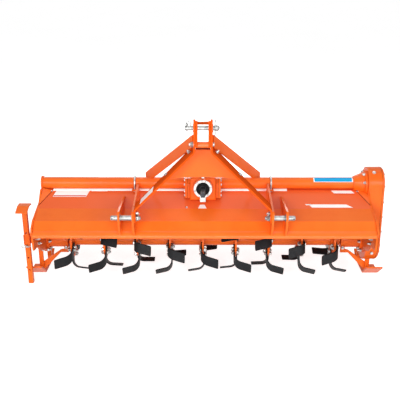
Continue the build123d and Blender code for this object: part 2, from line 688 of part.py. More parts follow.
# ------------------------------------------------------------------ skids and hub guards
def skid(under_case):
    path = [SKID_TOE, (SKID_FLAT[0], 0), (SKID_FLAT[1], 0), SKID_HEEL]
    outline = band(path, SKID_T)
    shoe = across(outline, skid_in, skid_in + POST_W)
    wide = block(skid_in, skid_out, SKID_TOE[0] - SKID_T, SKID_WIDE_TO, 0, ROTOR_Z)
    shoe += across(outline, skid_in, skid_out) & wide
    x0, x1 = skid_in, skid_in + POST_W
    for y in (POST_FRONT, POST_REAR):
        post = block(x0, x1, y, y + POST_T, SKID_T / 2, POST_TOP)
        post += block(plate_out, x1, y, y + POST_T, POST_TOP - POST_BRACKET, POST_TOP)
        shoe += post - across([*path, (SKID_HEEL[0], -1), (SKID_TOE[0], -1)], x0, x1)
    if under_case:
        shoe -= rod_x(CASE_LOW_R + RUN_GAP, plate_out, skid_out, 0, ROTOR_Z)
        shoe -= across(case_flanks(CASE_TOP_R, CASE_LOW_R), plate_out, skid_out)
    return shoe


def hub_guard():
    """Bent strap that shields the hub's lower side, from the hub out to the skid."""
    level = ROTOR_Z - HUB_R - GUARD_DROP
    bend, edge = hub_end + GUARD_FLAT, skid_in + 9
    outline = [
        (hub_end, level),
        (hub_end, ROTOR_Z - HUB_R + 16),
        (hub_end + GUARD_TAB, ROTOR_Z - HUB_R + 16),
        (hub_end + GUARD_TAB, level + GUARD_H),
        (bend, level + GUARD_H - 4),
        (edge, GUARD_END_HIGH),
        (edge, GUARD_END_LOW),
        (skid_in, GUARD_END_LOW),
        (bend, level),
    ]
    strap = along(outline, POST_FRONT + POST_T, POST_FRONT + POST_T + GUARD_T)
    return strap - rod_x(HUB_R + RUN_GAP, hub_end, HOOD_HALF, 0, ROTOR_Z)


keep("skid_right", skid(True))
keep("skid_left", mirrored(skid(False)))
keep("hub_guard_right", hub_guard())
keep("hub_guard_left", mirrored(hub_guard()))


# ------------------------------------------------------------------ parking leg
half = PARK_SIDE / 2
sleeve_in = half + SLEEVE_GAP
sleeve_out = sleeve_in + SLEEVE_WALL
park_pin_z = PARK_FIRST + PARK_PIN_HOLE * PARK_PITCH
sleeve_low = park_pin_z + PARK_PIN_R + RUN_GAP


def parking_leg():
    bar = block(-half, half, -half, half, 0, PARK_TOP)
    foot = across(band(FOOT_LINE, FOOT_T), -FOOT_W / 2, FOOT_W / 2)
    leg = bar + Pos(0, 0, PARK_TOP) * foot
    for i in range(PARK_HOLES):
        z = PARK_FIRST + i * PARK_PITCH
        leg -= rod_y(PARK_HOLE_R, -half, half, 0, z)
    return leg


def leg_sleeve():
    high = sleeve_low + SLEEVE_H
    sleeve = block(-sleeve_out, sleeve_out, -sleeve_out, sleeve_out, sleeve_low, high)
    arm = block(sleeve_out, PARK_OUT, sleeve_out - SLEEVE_ARM, sleeve_out, sleeve_low, high)
    inside = block(-sleeve_in, sleeve_in, -sleeve_in, sleeve_in, sleeve_low, high)
    return sleeve + arm - inside


stand = Pos(park_x, PARK_Y, 0)
keep("parking_leg", stand * parking_leg())
keep("leg_sleeve", stand * leg_sleeve())
park_pin = rod_y(PARK_PIN_R, -sleeve_out - 10, sleeve_out + 8, 0, park_pin_z)
keep("leg_pin", stand * park_pin)


# ------------------------------------------------------------------ trailing board
lean = radians(BOARD_LEAN)
down = (sin(lean), -cos(lean))          # from the hinge along the board, in (Y, Z)
out = (cos(lean), sin(lean))            # away from the rotor


def on_board(along_it, off_it):
    y = HINGE_Y + along_it * down[0] + off_it * out[0]
    return y, HINGE_Z + along_it * down[1] + off_it * out[1]


EAR_T = 6.0
BOARD_START = HINGE_BARREL_R + 5
lug_y, lug_z = on_board(ROD_LUG_DOWN, ROD_LUG_OUT)
ear_in = EYE_W / 2 + 1


def knuckle(x, web):
    """One hinge barrel with the web that carries it, bored for the hinge rod."""
    x0, x1 = x - HINGE_HALF, x + HINGE_HALF
    barrel = rod_x(HINGE_BARREL_R, x0, x1, HINGE_Y, HINGE_Z) + across(web, x0, x1)
    return barrel - rod_x(HINGE_R + RUN_GAP, x0, x1, HINGE_Y, HINGE_Z)


def trailing_board():
    path = [on_board(BOARD_START, 0), on_board(BOARD_LENGTH - 30, 0), on_board(BOARD_LENGTH, 14)]
    board = across(band(path, BOARD_T), -board_half, board_half)
    web = [on_board(0, 4), on_board(0, -4), on_board(BOARD_START + 4, 0)]
    web += [on_board(BOARD_START + 4, BOARD_T)]
    for x in BOARD_HINGES:
        board += knuckle(x, web)
    ear = [on_board(ROD_LUG_DOWN - 26, 2), on_board(ROD_LUG_DOWN + 26, 2)]
    ear += [on_board(ROD_LUG_DOWN + 13, ROD_LUG_OUT), on_board(ROD_LUG_DOWN - 13, ROD_LUG_OUT)]
    for x in (-ROD_X, ROD_X):
        for side in (-1, 1):
            x0, x1 = sorted((x + side * ear_in, x + side * (ear_in + EAR_T)))
            board += across(ear, x0, x1) + rod_x(13, x0, x1, lug_y, lug_z)
        end = ear_in + EAR_T + 4
        board += rod_x(EYE_PIN_R, x - end, x + end, lug_y, lug_z)
    return board


keep("trailing_board", trailing_board())
keep("hinge_rod", rod_x(HINGE_R, -HOOD_HALF, HOOD_HALF, HINGE_Y, HINGE_Z))
tail_inside = band(HOOD_LINE, -HOOD_T)[len(HOOD_LINE)]
tail_web = [HOOD_TAIL, (HINGE_Y + 6, HINGE_Z + 4), (HINGE_Y - 6, HINGE_Z - 4), tail_inside]
end_hinge = HOOD_HALF - HINGE_INSET
hinges = (-end_hinge, *HOOD_HINGES, end_hinge)
keep("hood_knuckles", *[knuckle(x, tail_web) for x in hinges])

# ------------------------------------------------------------------ hanger rods
WASHER_T, NUT_T = 3.0, 12.0
rod_run = hypot(GUIDE_Y - lug_y, GUIDE_Z - lug_z)
rod_turn = atan2(GUIDE_Z - lug_z, GUIDE_Y - lug_y)
SLOT_HALF_X, SLOT_HALF = ROD_R + 1.0, 19.0
GUIDE_HALF, GUIDE_HALF_X = 32.0, 30.0
spring_start = rod_run + GUIDE_T / 2 + RUN_GAP + WASHER_T
spring_end = spring_start + SPRING_L


def on_rod(x, along_it):
    """Place with +Z up the hanger rod, at a distance from its eye."""
    y = lug_y + along_it * cos(rod_turn)
    z = lug_z + along_it * sin(rod_turn)
    return Pos(x, y, z) * Rot(degrees(rod_turn) - 90, 0, 0)


def upright_bar(x, radius, start, end):
    return on_rod(x, (start + end) / 2) * Cylinder(radius, end - start)


def hanger_rod(x):
    rod = upright_bar(x, ROD_R, EYE_R - 2, spring_end + NUT_T + 10)
    rod += rod_x(EYE_R, x - EYE_W / 2, x + EYE_W / 2, lug_y, lug_z)
    rod += upright_bar(x, ROD_R + 6, spring_end, spring_end + NUT_T)
    return rod - rod_x(EYE_PIN_R + RUN_GAP, x - EYE_W / 2, x + EYE_W / 2, lug_y, lug_z)


def rod_spring(x):
    """Coil over the rod with the washer that it presses on the guide."""
    washer_low = spring_start - WASHER_T
    coil = upright_bar(x, SPRING_R, spring_start, spring_end)
    coil += upright_bar(x, SPRING_R + 2, washer_low, spring_start)
    return coil - upright_bar(x, ROD_R + RUN_GAP, washer_low, spring_end)


def rod_guide(x):
    plate = on_rod(x, rod_run) * Box(2 * GUIDE_HALF_X, 2 * GUIDE_HALF, GUIDE_T)
    plate -= on_rod(x, rod_run) * Box(2 * SLOT_HALF_X, 2 * SLOT_HALF, GUIDE_T)
    slope_y, slope_z = HOOD_TAIL[0] - HOOD_SLOPE[0], HOOD_TAIL[1] - HOOD_SLOPE[1]
    foot = [(HOOD_SLOPE[0] + t * slope_y, HOOD_SLOPE[1] + t * slope_z) for t in (0.3, 0.92)]
    span_y, span_z = GUIDE_HALF * sin(rod_turn), -GUIDE_HALF * cos(rod_turn)
    foot += [(GUIDE_Y + span_y, GUIDE_Z + span_z), (GUIDE_Y - span_y, GUIDE_Z - span_z)]
    for side in (-1, 1):
        x0, x1 = sorted((x + side * (GUIDE_HALF_X - EAR_T), x + side * GUIDE_HALF_X))
        plate += across(foot, x0, x1)
    return plate


keep("hanger_rods", hanger_rod(ROD_X), hanger_rod(-ROD_X))
keep("rod_springs", rod_spring(ROD_X), rod_spring(-ROD_X))
keep("rod_guides", rod_guide(ROD_X), rod_guide(-ROD_X))

# ------------------------------------------------------------------ origin and files
front_edge = TOP_PIN_Y - MAST_NOSE_R
back_edge = on_board(BOARD_LENGTH, 14 + BOARD_T)[0]
to_origin = Pos(0, -(front_edge + back_edge) / 2, 0)

os.makedirs("parts", exist_ok=True)
for name, shapes in parts.items():
    solids = [to_origin * solid for shape in shapes for solid in shape.solids()]
    export_step(Compound(solids), f"parts/{name}.step")
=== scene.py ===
"""Looks of the rotavator: finishes, fasteners, welds, blades, springs and stickers.

Lengths inside the functions are millimetres from the middle of the hood (X), the axis of
the beam tube (Y) and the ground (Z), and metres() turns them into the frame's own.
"""
import json
import math
import random

import bmesh
import bpy
from mathutils import Matrix, Vector


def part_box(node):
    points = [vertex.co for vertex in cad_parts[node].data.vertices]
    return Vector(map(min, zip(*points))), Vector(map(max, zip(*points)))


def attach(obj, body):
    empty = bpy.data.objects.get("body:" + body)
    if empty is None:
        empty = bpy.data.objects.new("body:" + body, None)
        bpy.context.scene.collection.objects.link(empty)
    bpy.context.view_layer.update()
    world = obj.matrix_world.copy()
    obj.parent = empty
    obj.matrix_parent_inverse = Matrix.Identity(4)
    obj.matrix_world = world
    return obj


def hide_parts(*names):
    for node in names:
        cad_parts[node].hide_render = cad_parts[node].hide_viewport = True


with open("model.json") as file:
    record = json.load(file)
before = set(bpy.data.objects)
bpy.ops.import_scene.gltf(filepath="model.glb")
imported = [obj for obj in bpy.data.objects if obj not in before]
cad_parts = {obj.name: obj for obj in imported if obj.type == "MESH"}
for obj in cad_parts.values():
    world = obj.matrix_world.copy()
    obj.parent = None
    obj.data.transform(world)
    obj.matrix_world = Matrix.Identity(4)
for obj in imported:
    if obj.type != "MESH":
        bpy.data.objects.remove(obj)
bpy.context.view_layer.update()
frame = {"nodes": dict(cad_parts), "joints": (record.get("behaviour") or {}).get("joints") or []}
nodes = frame["nodes"]
MM = 0.001
TAU = 2 * math.pi
dice = random.Random(7)


def box(node):
    """Lowest and highest corner of a CAD node, millimetres, in the frame's own place."""
    low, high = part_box(node)
    return [v / MM for v in low], [v / MM for v in high]


def middle(node, axis):
    """Centre of that box along one axis."""
    low, high = box(node)
    return (low[axis] + high[axis]) / 2


# ---------------- places read from the frame
BEAM_Y = middle("tube_clamps", 1)          # the beam tube's axis, in the frame


def metres(point):
    """A point of this file in the frame's own units and place."""
    x, y, z = point
    return Vector((x * MM, (y + BEAM_Y) * MM, z * MM))


CENTRE_X = middle("mast_spacer", 0)
HOOD_HALF = box("hood")[1][0]
PLATE_OUT = box("side_plate_right")[1][0]
CASE_OUT = box("side_gear_case")[1][0]
COVER_OUT = box("gear_case_cover")[1][0]
HUB_END = box("bearing_hub_right")[0][0]
CAP_OUT = box("bearing_cap_left")[0][0]
ROTOR_Z = middle("rotor_tube", 2)
PTO_Z = middle("input_shaft", 2)
SEAL_FRONT = box("pto_seal_housing")[0][1] - BEAM_Y
LIP_Y = box("hood")[0][1] - BEAM_Y
TOP_PIN_Z = middle("top_link_pin", 2)
TOP_PIN_Y = middle("top_link_pin", 1) - BEAM_Y
SPACER_Y = middle("mast_spacer", 1) - BEAM_Y
SPACER_Z = middle("mast_spacer", 2)
LEG_X = middle("parking_leg", 0)
LEG_PIN_FRONT = box("leg_pin")[0][1] - BEAM_Y
LEG_PIN_Z = middle("leg_pin", 2)
HITCH_Y = middle("hitch_pin_right", 1) - BEAM_Y
HITCH_Z = middle("hitch_pin_right", 2)
HINGE_Y = middle("hinge_rod", 1) - BEAM_Y
HINGE_Z = middle("hinge_rod", 2)
LUG = next(Vector(j["pos_m"]) / MM for j in frame["joints"] if j["name"] == "rod_swing")
LUG_Y, LUG_Z = LUG.y - BEAM_Y, LUG.z       # where the hanger rods hang on the board

# sizes that the boxes don't give
BEAM_Z, BEAM_R = 628.0, 36.5               # the beam tube's axis and outside
CREST_Z = BEAM_Z - BEAM_R - 0.3            # the hood's highest flat, just under the tube
CREST_END = 132.0                          # where that flat bends down to the rear
BEND_2, BEND_1, CREST = (-318.0, 497.0), (-200.0, 530.0), (-36.0, CREST_Z)    # (Y, Z) of bends
LIP_LOW, LIP_HIGH = 416.0, 432.0           # the hood's front edge
FLAT_OUT = (0, -0.35, 0.94)                # away from the upper flat, from BEND_1 to CREST
POST_FRONT = -60.0                         # front of the skids' posts
RING_T, RING_SHIFT, RING_END, RINGS = 12.0, -9.0, 41.0, 9     # the end one's place from its hub
BLADE_T, BLADE_W, BLADE_LEAN, BLADE_TURN = 8.0, 60.0, 17.5, 82.0
BLADE_BEND, BLADE_FLAT, BLADE_SWEEP, BLADE_ROOT = 50.0, 140.0, 0.226, 60.0
BLADE_BOLTS, BLADE_BOLT = (79.0, 101.0), 14.0          # from the rotor's axis, and across flats
TIP_R = 234.0
HELIX_STEP, HELIX_START, HAND_LAG = 13.6, -36.5, 56.3        # degrees
CASE_TOP_R, CASE_LOW_R = 104.0, 128.0
ROD_X = 560.0                              # hanger rods, left and right of the middle
GUIDE_Y, GUIDE_Z = 375.0, 465.0            # where the rods pass through the hood's brackets
BOARD_LEAN = math.radians(28.4)
MAST_IN, MAST_T = 42.0, 11.0               # inner face of the mast plates at the top
MAST_TOP, MAST_BEND, MAST_KNEE, MAST_FOOT = 1156.0, 966.0, 605.0, 535.0
MAST_FOOT_IN = 389.5                       # inner face below the knee
MAST_SPLAY = (MAST_FOOT_IN - MAST_IN) / (MAST_BEND - MAST_KNEE)
HITCH_NEAR, HITCH_FAR, HITCH_T = 412.5, 495.0, 12.0          # outer faces of the hitch plates
HITCH_HEEL = (-100.0, 567.38)              # rear end of the outer ones, on the upper flat
STICKER_T = 0.5


# ---------------- materials
def new_material(name):
    mat = bpy.data.materials.new(name)
    mat.use_nodes = True
    tree = mat.node_tree
    shader = tree.nodes["Principled BSDF"]
    return mat, tree, shader


def link(tree, a, out, b, into):
    tree.links.new(a.outputs[out], b.inputs[into])


def noise(tree, scale, detail=4.0):
    where = tree.nodes.new("ShaderNodeTexCoord")
    node = tree.nodes.new("ShaderNodeTexNoise")
    node.inputs["Scale"].default_value = scale
    node.inputs["Detail"].default_value = detail
    node.inputs["Roughness"].default_value = 0.55
    link(tree, where, "Object", node, "Vector")
    return node


def ramp(tree, source, stops):
    """Colour ramp over a noise: stops are (position, colour)."""
    node = tree.nodes.new("ShaderNodeValToRGB")
    points = node.color_ramp.elements
    while len(points) < len(stops):
        points.new(0.5)
    for point, (place, colour) in zip(points, stops):
        point.position = place
        point.color = (*colour, 1) if len(colour) == 3 else (colour[0],) * 3 + (1,)
    link(tree, source, "Fac", node, "Fac")
    return node


def linear(*rgb):
    """sRGB 0-255 to the linear values that a shader takes."""
    out = []
    for value in rgb:
        v = value / 255
        out.append(v / 12.92 if v <= 0.04045 else ((v + 0.055) / 1.055) ** 2.4)
    return tuple(out)


def relief(tree, shader, layers, rounding):
    """Rounded edges under a chain of bumps: (noise scale, height in metres, strength)."""
    normal = tree.nodes.new("ShaderNodeBevel")
    normal.samples = 6
    normal.inputs["Radius"].default_value = rounding
    for scale, height, strength in layers:
        bump = tree.nodes.new("ShaderNodeBump")
        bump.inputs["Strength"].default_value = strength
        bump.inputs["Distance"].default_value = height
        link(tree, noise(tree, scale), "Fac", bump, "Height")
        link(tree, normal, "Normal", bump, "Normal")
        normal = bump
    link(tree, normal, "Normal", shader, "Normal")


EDGE, FINE_EDGE = 0.0012, 0.0006             # rounding of edges, metres
PEEL, DENTS = (420.0, 0.0001), (9.0, 0.0015)  # noise scale and height of the paint's relief


def painted(name, *tones, rough=(0.34, 0.42), coat=0.12, waves=0.05, shine=0.14):
    """Sprayed enamel: slow drifts of tone, fine orange peel, a clear gloss on top."""
    mat, tree, shader = new_material(name)
    drift = zip((0.28, 0.5, 0.74), (linear(*tone) for tone in tones))
    tone = ramp(tree, noise(tree, 4.0, 6.0), list(drift))
    link(tree, tone, "Color", shader, "Base Color")
    gloss = ramp(tree, noise(tree, 38.0, 5.0), [(0.3, (rough[0],)), (0.7, (rough[1],))])
    link(tree, gloss, "Color", shader, "Roughness")
    shader.inputs["Coat Weight"].default_value = coat
    shader.inputs["Coat Roughness"].default_value = 0.10
    shader.inputs["Specular IOR Level"].default_value = shine
    relief(tree, shader, [(*PEEL, waves), (*DENTS, waves)], EDGE)
    return mat


def socket(sockets, name):
    """The colour socket of that name on a mix node, which has one for each data type."""
    return next(s for s in sockets if s.name == name and s.type == "RGBA")


def painted_shade_band(mat, low, high, shade):
    """Paints a darker, pinker band between two places along the object's Y, in metres: painted
    shade with a painted reflection.
    """
    soft = 0.003
    tree = mat.node_tree
    base = tree.nodes["Principled BSDF"].inputs["Base Color"]
    paint = base.links[0].from_socket
    where = tree.nodes.new("ShaderNodeTexCoord")
    split = tree.nodes.new("ShaderNodeSeparateXYZ")
    link(tree, where, "Object", split, "Vector")
    inside = tree.nodes.new("ShaderNodeMath")
    inside.operation = "MULTIPLY"
    for k, (edge, past) in enumerate(((low, low + soft), (high, high - soft))):
        step = tree.nodes.new("ShaderNodeMapRange")
        step.inputs["From Min"].default_value = edge
        step.inputs["From Max"].default_value = past
        link(tree, split, "Y", step, "Value")
        link(tree, step, "Result", inside, k)
    mix = tree.nodes.new("ShaderNodeMix")
    mix.data_type = "RGBA"
    socket(mix.inputs, "B").default_value = (*shade, 1)
    tree.links.new(paint, socket(mix.inputs, "A"))
    link(tree, inside, "Value", mix, "Factor")
    tree.links.new(socket(mix.outputs, "Result"), base)
    return mat


def metal(name, dark, light, rough, scale=60.0):
    """Plated or machined metal, mottled between two greys (0-255)."""
    mat, tree, shader = new_material(name)
    tone = ramp(tree, noise(tree, scale, 6.0), [(0.3, linear(*dark)), (0.7, linear(*light))])
    link(tree, tone, "Color", shader, "Base Color")
    gloss = ramp(tree, noise(tree, scale * 2.3, 5.0), [(0.3, (rough[0],)), (0.7, (rough[1],))])
    link(tree, gloss, "Color", shader, "Roughness")
    shader.inputs["Metallic"].default_value = 1.0
    relief(tree, shader, [(scale * 9, 0.0001, 0.15)], FINE_EDGE)
    return mat


MATT = (0.6, 0.75)
ORANGE = painted("orange_enamel", (233, 98, 27), (238, 105, 31), (242, 111, 35))
# The hood's upper flat, from BEND_1 to CREST_END, gets painted shade and reflection: a darker,
# pinker tone.
HOOD_PAINT = painted_shade_band(
    painted("hood_enamel", (235, 102, 27), (240, 109, 31), (244, 115, 35)),
    (BEAM_Y + BEND_1[0]) * MM, (BEAM_Y + CREST_END) * MM, linear(233, 99, 46),
)
CASTING = painted(
    "orange_casting", (228, 92, 16), (237, 102, 20), (243, 110, 26),
    rough=(0.36, 0.48), coat=0.2, waves=0.16,
)
BLACK = painted(
    "blade_black", (20, 21, 22), (28, 29, 31), (40, 42, 44),
    rough=(0.42, 0.6), coat=0.0, waves=0.12,
)
# A darker copy of the orange enamel, without gloss, for the mast plates: painted shade.
MAST_SHADED_PAINT = painted(
    "mast_enamel_painted_shade", (222, 80, 22), (228, 86, 24), (234, 92, 28),
    rough=(0.5, 0.6), coat=0.0, shine=0.0,
)
# A lighter copy of the orange enamel for the lip's hem: painted highlight, with a real higher
# gloss.
HEM_LIT_PAINT = painted(
    "hem_enamel_painted_highlight", (240, 104, 24), (244, 110, 27), (248, 116, 32), coat=0.2, shine=0.3
)
# A lighter copy of the orange enamel for the mast spacer: painted highlight, with a real higher
# gloss.
SPACER_LIT_PAINT = painted(
    "spacer_enamel_painted_highlight", (244, 112, 22), (248, 118, 26), (252, 124, 32),
    rough=(0.28, 0.34), coat=0.5, shine=0.5,
)
ZINC = metal("bright_zinc", (122, 122, 121), (184, 184, 182), (0.36, 0.5), 45.0)
FASTENER = metal("bright_fasteners", (160, 160, 158), (214, 214, 212), (0.3, 0.46))
STEEL = metal("machined_aluminium", (176, 176, 174), (222, 222, 219), (0.3, 0.5), 40.0)
DARK = metal("dark_steel", (40, 40, 42), (74, 74, 77), (0.3, 0.5))
SPRING = painted("spring_black", (20, 20, 22), (30, 30, 32), (44, 44, 46), coat=0.1)
RUBBER = painted("seal_black", (14, 14, 15), (20, 20, 21), (28, 28, 29), rough=MATT, coat=0.0)
WHITE = painted("sticker_white", (246, 240, 238), (251, 247, 245), (254, 252, 250), coat=0.2)
BLUE = painted("sticker_blue", (0, 146, 206), (4, 156, 214), (14, 166, 222), coat=0.2)
RED = painted("sticker_red", (196, 34, 22), (208, 40, 26), (216, 50, 34), coat=0.3)
# Near-white for a strip along the crest under the beam tube: painted highlight.
CREST_HIGHLIGHT = painted(
    "pale_painted_highlight", (246, 240, 236), (252, 248, 245), (255, 253, 251), rough=(0.4, 0.55)
)
# Dark red for strips laid where there is only shade: painted shadow.
PAINTED_SHADOW = painted(
    "seam_shadow", (120, 34, 8), (132, 40, 10), (146, 48, 14), rough=(0.6, 0.7), coat=0.0
)

finishes = {
    "orange_paint": ORANGE,
    "blade_black": BLACK,
    "zinc_steel": ZINC,
    "bare_aluminium": STEEL,
    "dark_steel": DARK,
    "spring_black": SPRING,
}
CASTINGS = ("center_gearbox", "cone_adapter", "side_gear_case", "gear_case_cover")
special = {"hood": HOOD_PAINT, "mast_spacer": SPACER_LIT_PAINT, **{name: CASTING for name in CASTINGS}}
for name, obj in nodes.items():
    slot = obj.data.materials[0].name.split(".")[0]
    for place in obj.material_slots:
        place.material = special.get(name, finishes.get(slot, ORANGE))


# ---------------- stage
FLOOR_HALF = 30.0                          # metres
FLOOR_GLOW = 0.79                          # what camera and gloss see, over the floor's own shade
WORLD_LEVEL = 0.24                         # what lights the object; camera and gloss see 1
LAMPS = (                                  # name, place, aim, size in metres, watts
    ("key", (-2.0, -4.5, 2.4), (0, 0, 0.4), (3.2, 1.5), 138),
    ("fill", (2.8, -4.1, 2.1), (0, 0, 0.4), (2.8, 1.5), 90),
    ("low", (0.0, -4.4, 0.6), (0, 0, 0.3), (3.6, 0.8), 54),
    ("top", (0.2, 0.9, 4.0), (0, 0, 0.3), (3.4, 2.0), 34),
    ("rear", (0.0, 4.6, 2.2), (0, 0, 0.5), (3.0, 1.6), 80),
)
CAMERA_PLACE, CAMERA_TILT, CAMERA_PAN = (-0.0142, -4.0000, 2.0299), 69.11, 0.2
LENS, SENSOR = 59.85, 36.0


def any_ray(tree, *kinds):
    """Node whose value is 1 for rays of these two or more kinds."""
    rays = tree.nodes.new("ShaderNodeLightPath")
    source, out = rays, kinds[0]
    for kind in kinds[1:]:
        total = tree.nodes.new("ShaderNodeMath")
        total.operation = "ADD"
        total.use_clamp = True
        link(tree, source, out, total, 0)
        link(tree, rays, kind, total, 1)
        source, out = total, "Value"
    return source


def stage():
    """White floor that keeps the object's shadow, and a white world."""
    mesh = bpy.data.meshes.new("floor")
    corners = [(-1, -1, 0), (1, -1, 0), (1, 1, 0), (-1, 1, 0)]
    mesh.from_pydata([FLOOR_HALF * Vector(c) for c in corners], [], [(0, 1, 2, 3)])
    floor = bpy.data.objects.new("floor", mesh)
    bpy.context.scene.collection.objects.link(floor)
    mat, tree, shader = new_material("floor_white")
    shades = [(0.3, linear(222, 222, 222)), (0.7, linear(228, 228, 228))]
    link(tree, ramp(tree, noise(tree, 0.6, 2.0), shades), "Color", shader, "Base Color")
    shader.inputs["Roughness"].default_value = 0.9
    shader.inputs["Specular IOR Level"].default_value = 0.1
    shader.inputs["Emission Color"].default_value = (1, 1, 1, 1)
    glow = tree.nodes.new("ShaderNodeMath")
    glow.operation = "MULTIPLY"
    glow.inputs[1].default_value = FLOOR_GLOW
    link(tree, any_ray(tree, "Is Camera Ray", "Is Glossy Ray"), "Value", glow, 0)
    link(tree, glow, "Value", shader, "Emission Strength")
    mesh.materials.append(mat)

    world = bpy.data.worlds.new("studio")
    bpy.context.scene.world = world
    world.use_nodes = True
    tree = world.node_tree
    seen = any_ray(tree, "Is Camera Ray", "Is Transmission Ray", "Is Glossy Ray")
    level = tree.nodes.new("ShaderNodeMapRange")
    level.inputs["To Min"].default_value = WORLD_LEVEL
    level.inputs["To Max"].default_value = 1.0
    link(tree, seen, "Value", level, "Value")
    back = tree.nodes["Background"]
    link(tree, level, "Result", back, "Strength")
    back.inputs["Color"].default_value = (1, 1, 1, 1)


def lamp(name, place, aim, size, power):
    """Rectangle of light that faces a point."""
    light = bpy.data.lights.new(name, "AREA")
    light.shape = "RECTANGLE"
    light.size, light.size_y = size
    light.energy = power
    obj = bpy.data.objects.new(name, light)
    obj.location = place
    obj.rotation_euler = (Vector(aim) - Vector(place)).to_track_quat("-Z", "Y").to_euler()
    bpy.context.scene.collection.objects.link(obj)


def camera():
    lens = bpy.data.cameras.new("camera")
    lens.lens, lens.sensor_width = LENS, SENSOR
    obj = bpy.data.objects.new("camera", lens)
    obj.location = CAMERA_PLACE
    obj.rotation_euler = (math.radians(CAMERA_TILT), 0, math.radians(CAMERA_PAN))
    bpy.context.scene.collection.objects.link(obj)
    bpy.context.scene.camera = obj


stage()
camera()
for values in LAMPS:
    lamp(*values)
bpy.context.scene.view_settings.view_transform = "Standard"


# ---------------- mesh kit
class Shape:
    """Points and faces of one piece."""

    def __init__(self):
        self.points, self.faces = [], []

    def add(self, place, points, faces):
        start = len(self.points)
        self.points += [place @ Vector(p) for p in points]
        self.faces += [[start + i for i in face] for face in faces]


IN_PLACE = Matrix.Identity(4)


def at(x, y, z, axis=(0, 0, 1), roll=0.0):
    """Place with local +Z along an axis."""
    turn = Vector(axis).to_track_quat("Z", "Y").to_matrix().to_4x4()
    return Matrix.Translation((x, y, z)) @ turn @ Matrix.Rotation(math.radians(roll), 4, "Z")


def upright(x):
    """Place whose local X and Y are the object's Y and Z, with thickness towards +X."""
    return Matrix(((0, 0, 1, x), (1, 0, 0, 0), (0, 1, 0, 0), (0, 0, 0, 1)))


def skin(rows, closed=False):
    """Quads between rows of equally many points, capped at both ends unless closed."""
    sides, faces = len(rows[0]), []
    last = len(rows) if closed else len(rows) - 1
    for k in range(last):
        a, b = k * sides, (k + 1) % len(rows) * sides
        for i in range(sides):
            j = (i + 1) % sides
            faces.append((a + i, a + j, b + j, b + i))
    if not closed:
        faces.append(tuple(reversed(range(sides))))
        faces.append(tuple(range(last * sides, (last + 1) * sides)))
    return [p for row in rows for p in row], faces


def bar(shape, outline, x0, x1):
    """Solid between two places along X, of an outline in the object's Y and Z."""
    shape.add(IN_PLACE, *skin([[(x, y, z) for y, z in outline] for x in (x0, x1)]))


def ring_of(radius, height, sides):
    """Points round the local Z axis."""
    return [(radius * math.cos(TAU * i / sides), radius * math.sin(TAU * i / sides), height)
            for i in range(sides)]


def lathe(shape, place, profile, sides=24):
    """Turned solid: profile is (radius, height) from one end to the other."""
    shape.add(place, *skin([ring_of(r, h, sides) for r, h in profile]))


def washer(shape, place, radius, bore, thick, sides=28):
    """Flat ring with a hole."""
    profile = [(bore, 0), (radius, 0), (radius, thick * 0.7), (radius - thick * 0.3, thick),
               (bore, thick)]
    shape.add(place, *skin([ring_of(r, h, sides) for r, h in profile], closed=True))


def hexagon(shape, place, size, high):
    """Nut or head, with its two ends chamfered."""
    corner = 0.93 * size
    lathe(shape, place, [(0.9 * corner, 0), (corner, 0.08 * size), (corner, high - 0.14 * size),
                         (0.84 * corner, high)], 6)


def bolt(shape, place, size, stud=0.0):
    """Washer and hexagon head, or a nut with the bolt's end beyond it."""
    flat = 0.18 * size
    lathe(shape, place, [(1.08 * size, 0), (1.08 * size, 0.7 * flat), (size, flat)], 20)
    high = (0.82 if stud else 0.62) * size
    hexagon(shape, place @ Matrix.Translation((0, 0, flat)), size, high)
    if stud:
        top = flat + high
        lathe(shape, place, [(size / 2, top - 1), (size / 2, top + stud - 1),
                             (size / 2 - 1, top + stud)], 12)


def sweep(shape, path, radius, sides=10, closed=False, swell=None):
    """Round bar along a path, or a weld bead where its thickness swells."""
    path = [Vector(p) for p in path]
    count, rows, normal = len(path), [], None
    for i, p in enumerate(path):
        before = path[i - 1] if closed or i else p
        after = path[(i + 1) % count] if closed or i < count - 1 else p
        ahead = (after - before).normalized()
        normal = ahead.orthogonal() if normal is None else normal - ahead * normal.dot(ahead)
        normal.normalize()
        other = ahead.cross(normal)
        r = radius * (swell[i] if swell else 1)
        turns = [TAU * k / sides for k in range(sides)]
        rows.append([p + r * (math.cos(a) * normal + math.sin(a) * other) for a in turns])
    shape.add(IN_PLACE, *skin(rows, closed))


WELD_R, WELD_STEP, RING_WELD_STEP = 3.6, 3.4, 4.2


def ripple(count):
    """Thickness of a weld bead along its path: thick and thin by turns, a little uneven."""
    return [(1.08 if k % 2 else 0.9) + dice.uniform(-0.06, 0.06) for k in range(count)]


def weld(shape, *corners):
    """Rippled bead along straight runs between corners, thin at its ends."""
    corners = [Vector(p) for p in corners]
    path = []
    for start, end in zip(corners, corners[1:]):
        steps = max(2, round((end - start).length / WELD_STEP))
        path += [start.lerp(end, k / steps) for k in range(steps)]
    path.append(corners[-1])
    swell = ripple(len(path))
    swell[0] = swell[-1] = 0.45
    sweep(shape, path, WELD_R, 6, False, swell)


def weld_ring(shape, x, radius, bead):
    """Bead round the rotor's axis."""
    count = max(40, round(TAU * radius / RING_WELD_STEP))
    path = []
    for k in range(count):
        a = TAU * k / count
        path.append((x, radius * math.sin(a), ROTOR_Z + radius * math.cos(a)))
    sweep(shape, path, bead, 6, True, ripple(count))


def inset(outline, by):
    """Outline moved inwards by a distance; corners run anticlockwise."""
    out = []
    for i, p in enumerate(outline):
        before, after = Vector(outline[i - 1]), Vector(outline[(i + 1) % len(outline)])
        a, b = (Vector(p) - before).normalized(), (after - Vector(p)).normalized()
        na, nb = Vector((-a.y, a.x)), Vector((-b.y, b.x))
        out.append(Vector(p) + (na + nb) * by / (1 + na.dot(nb)))
    return out


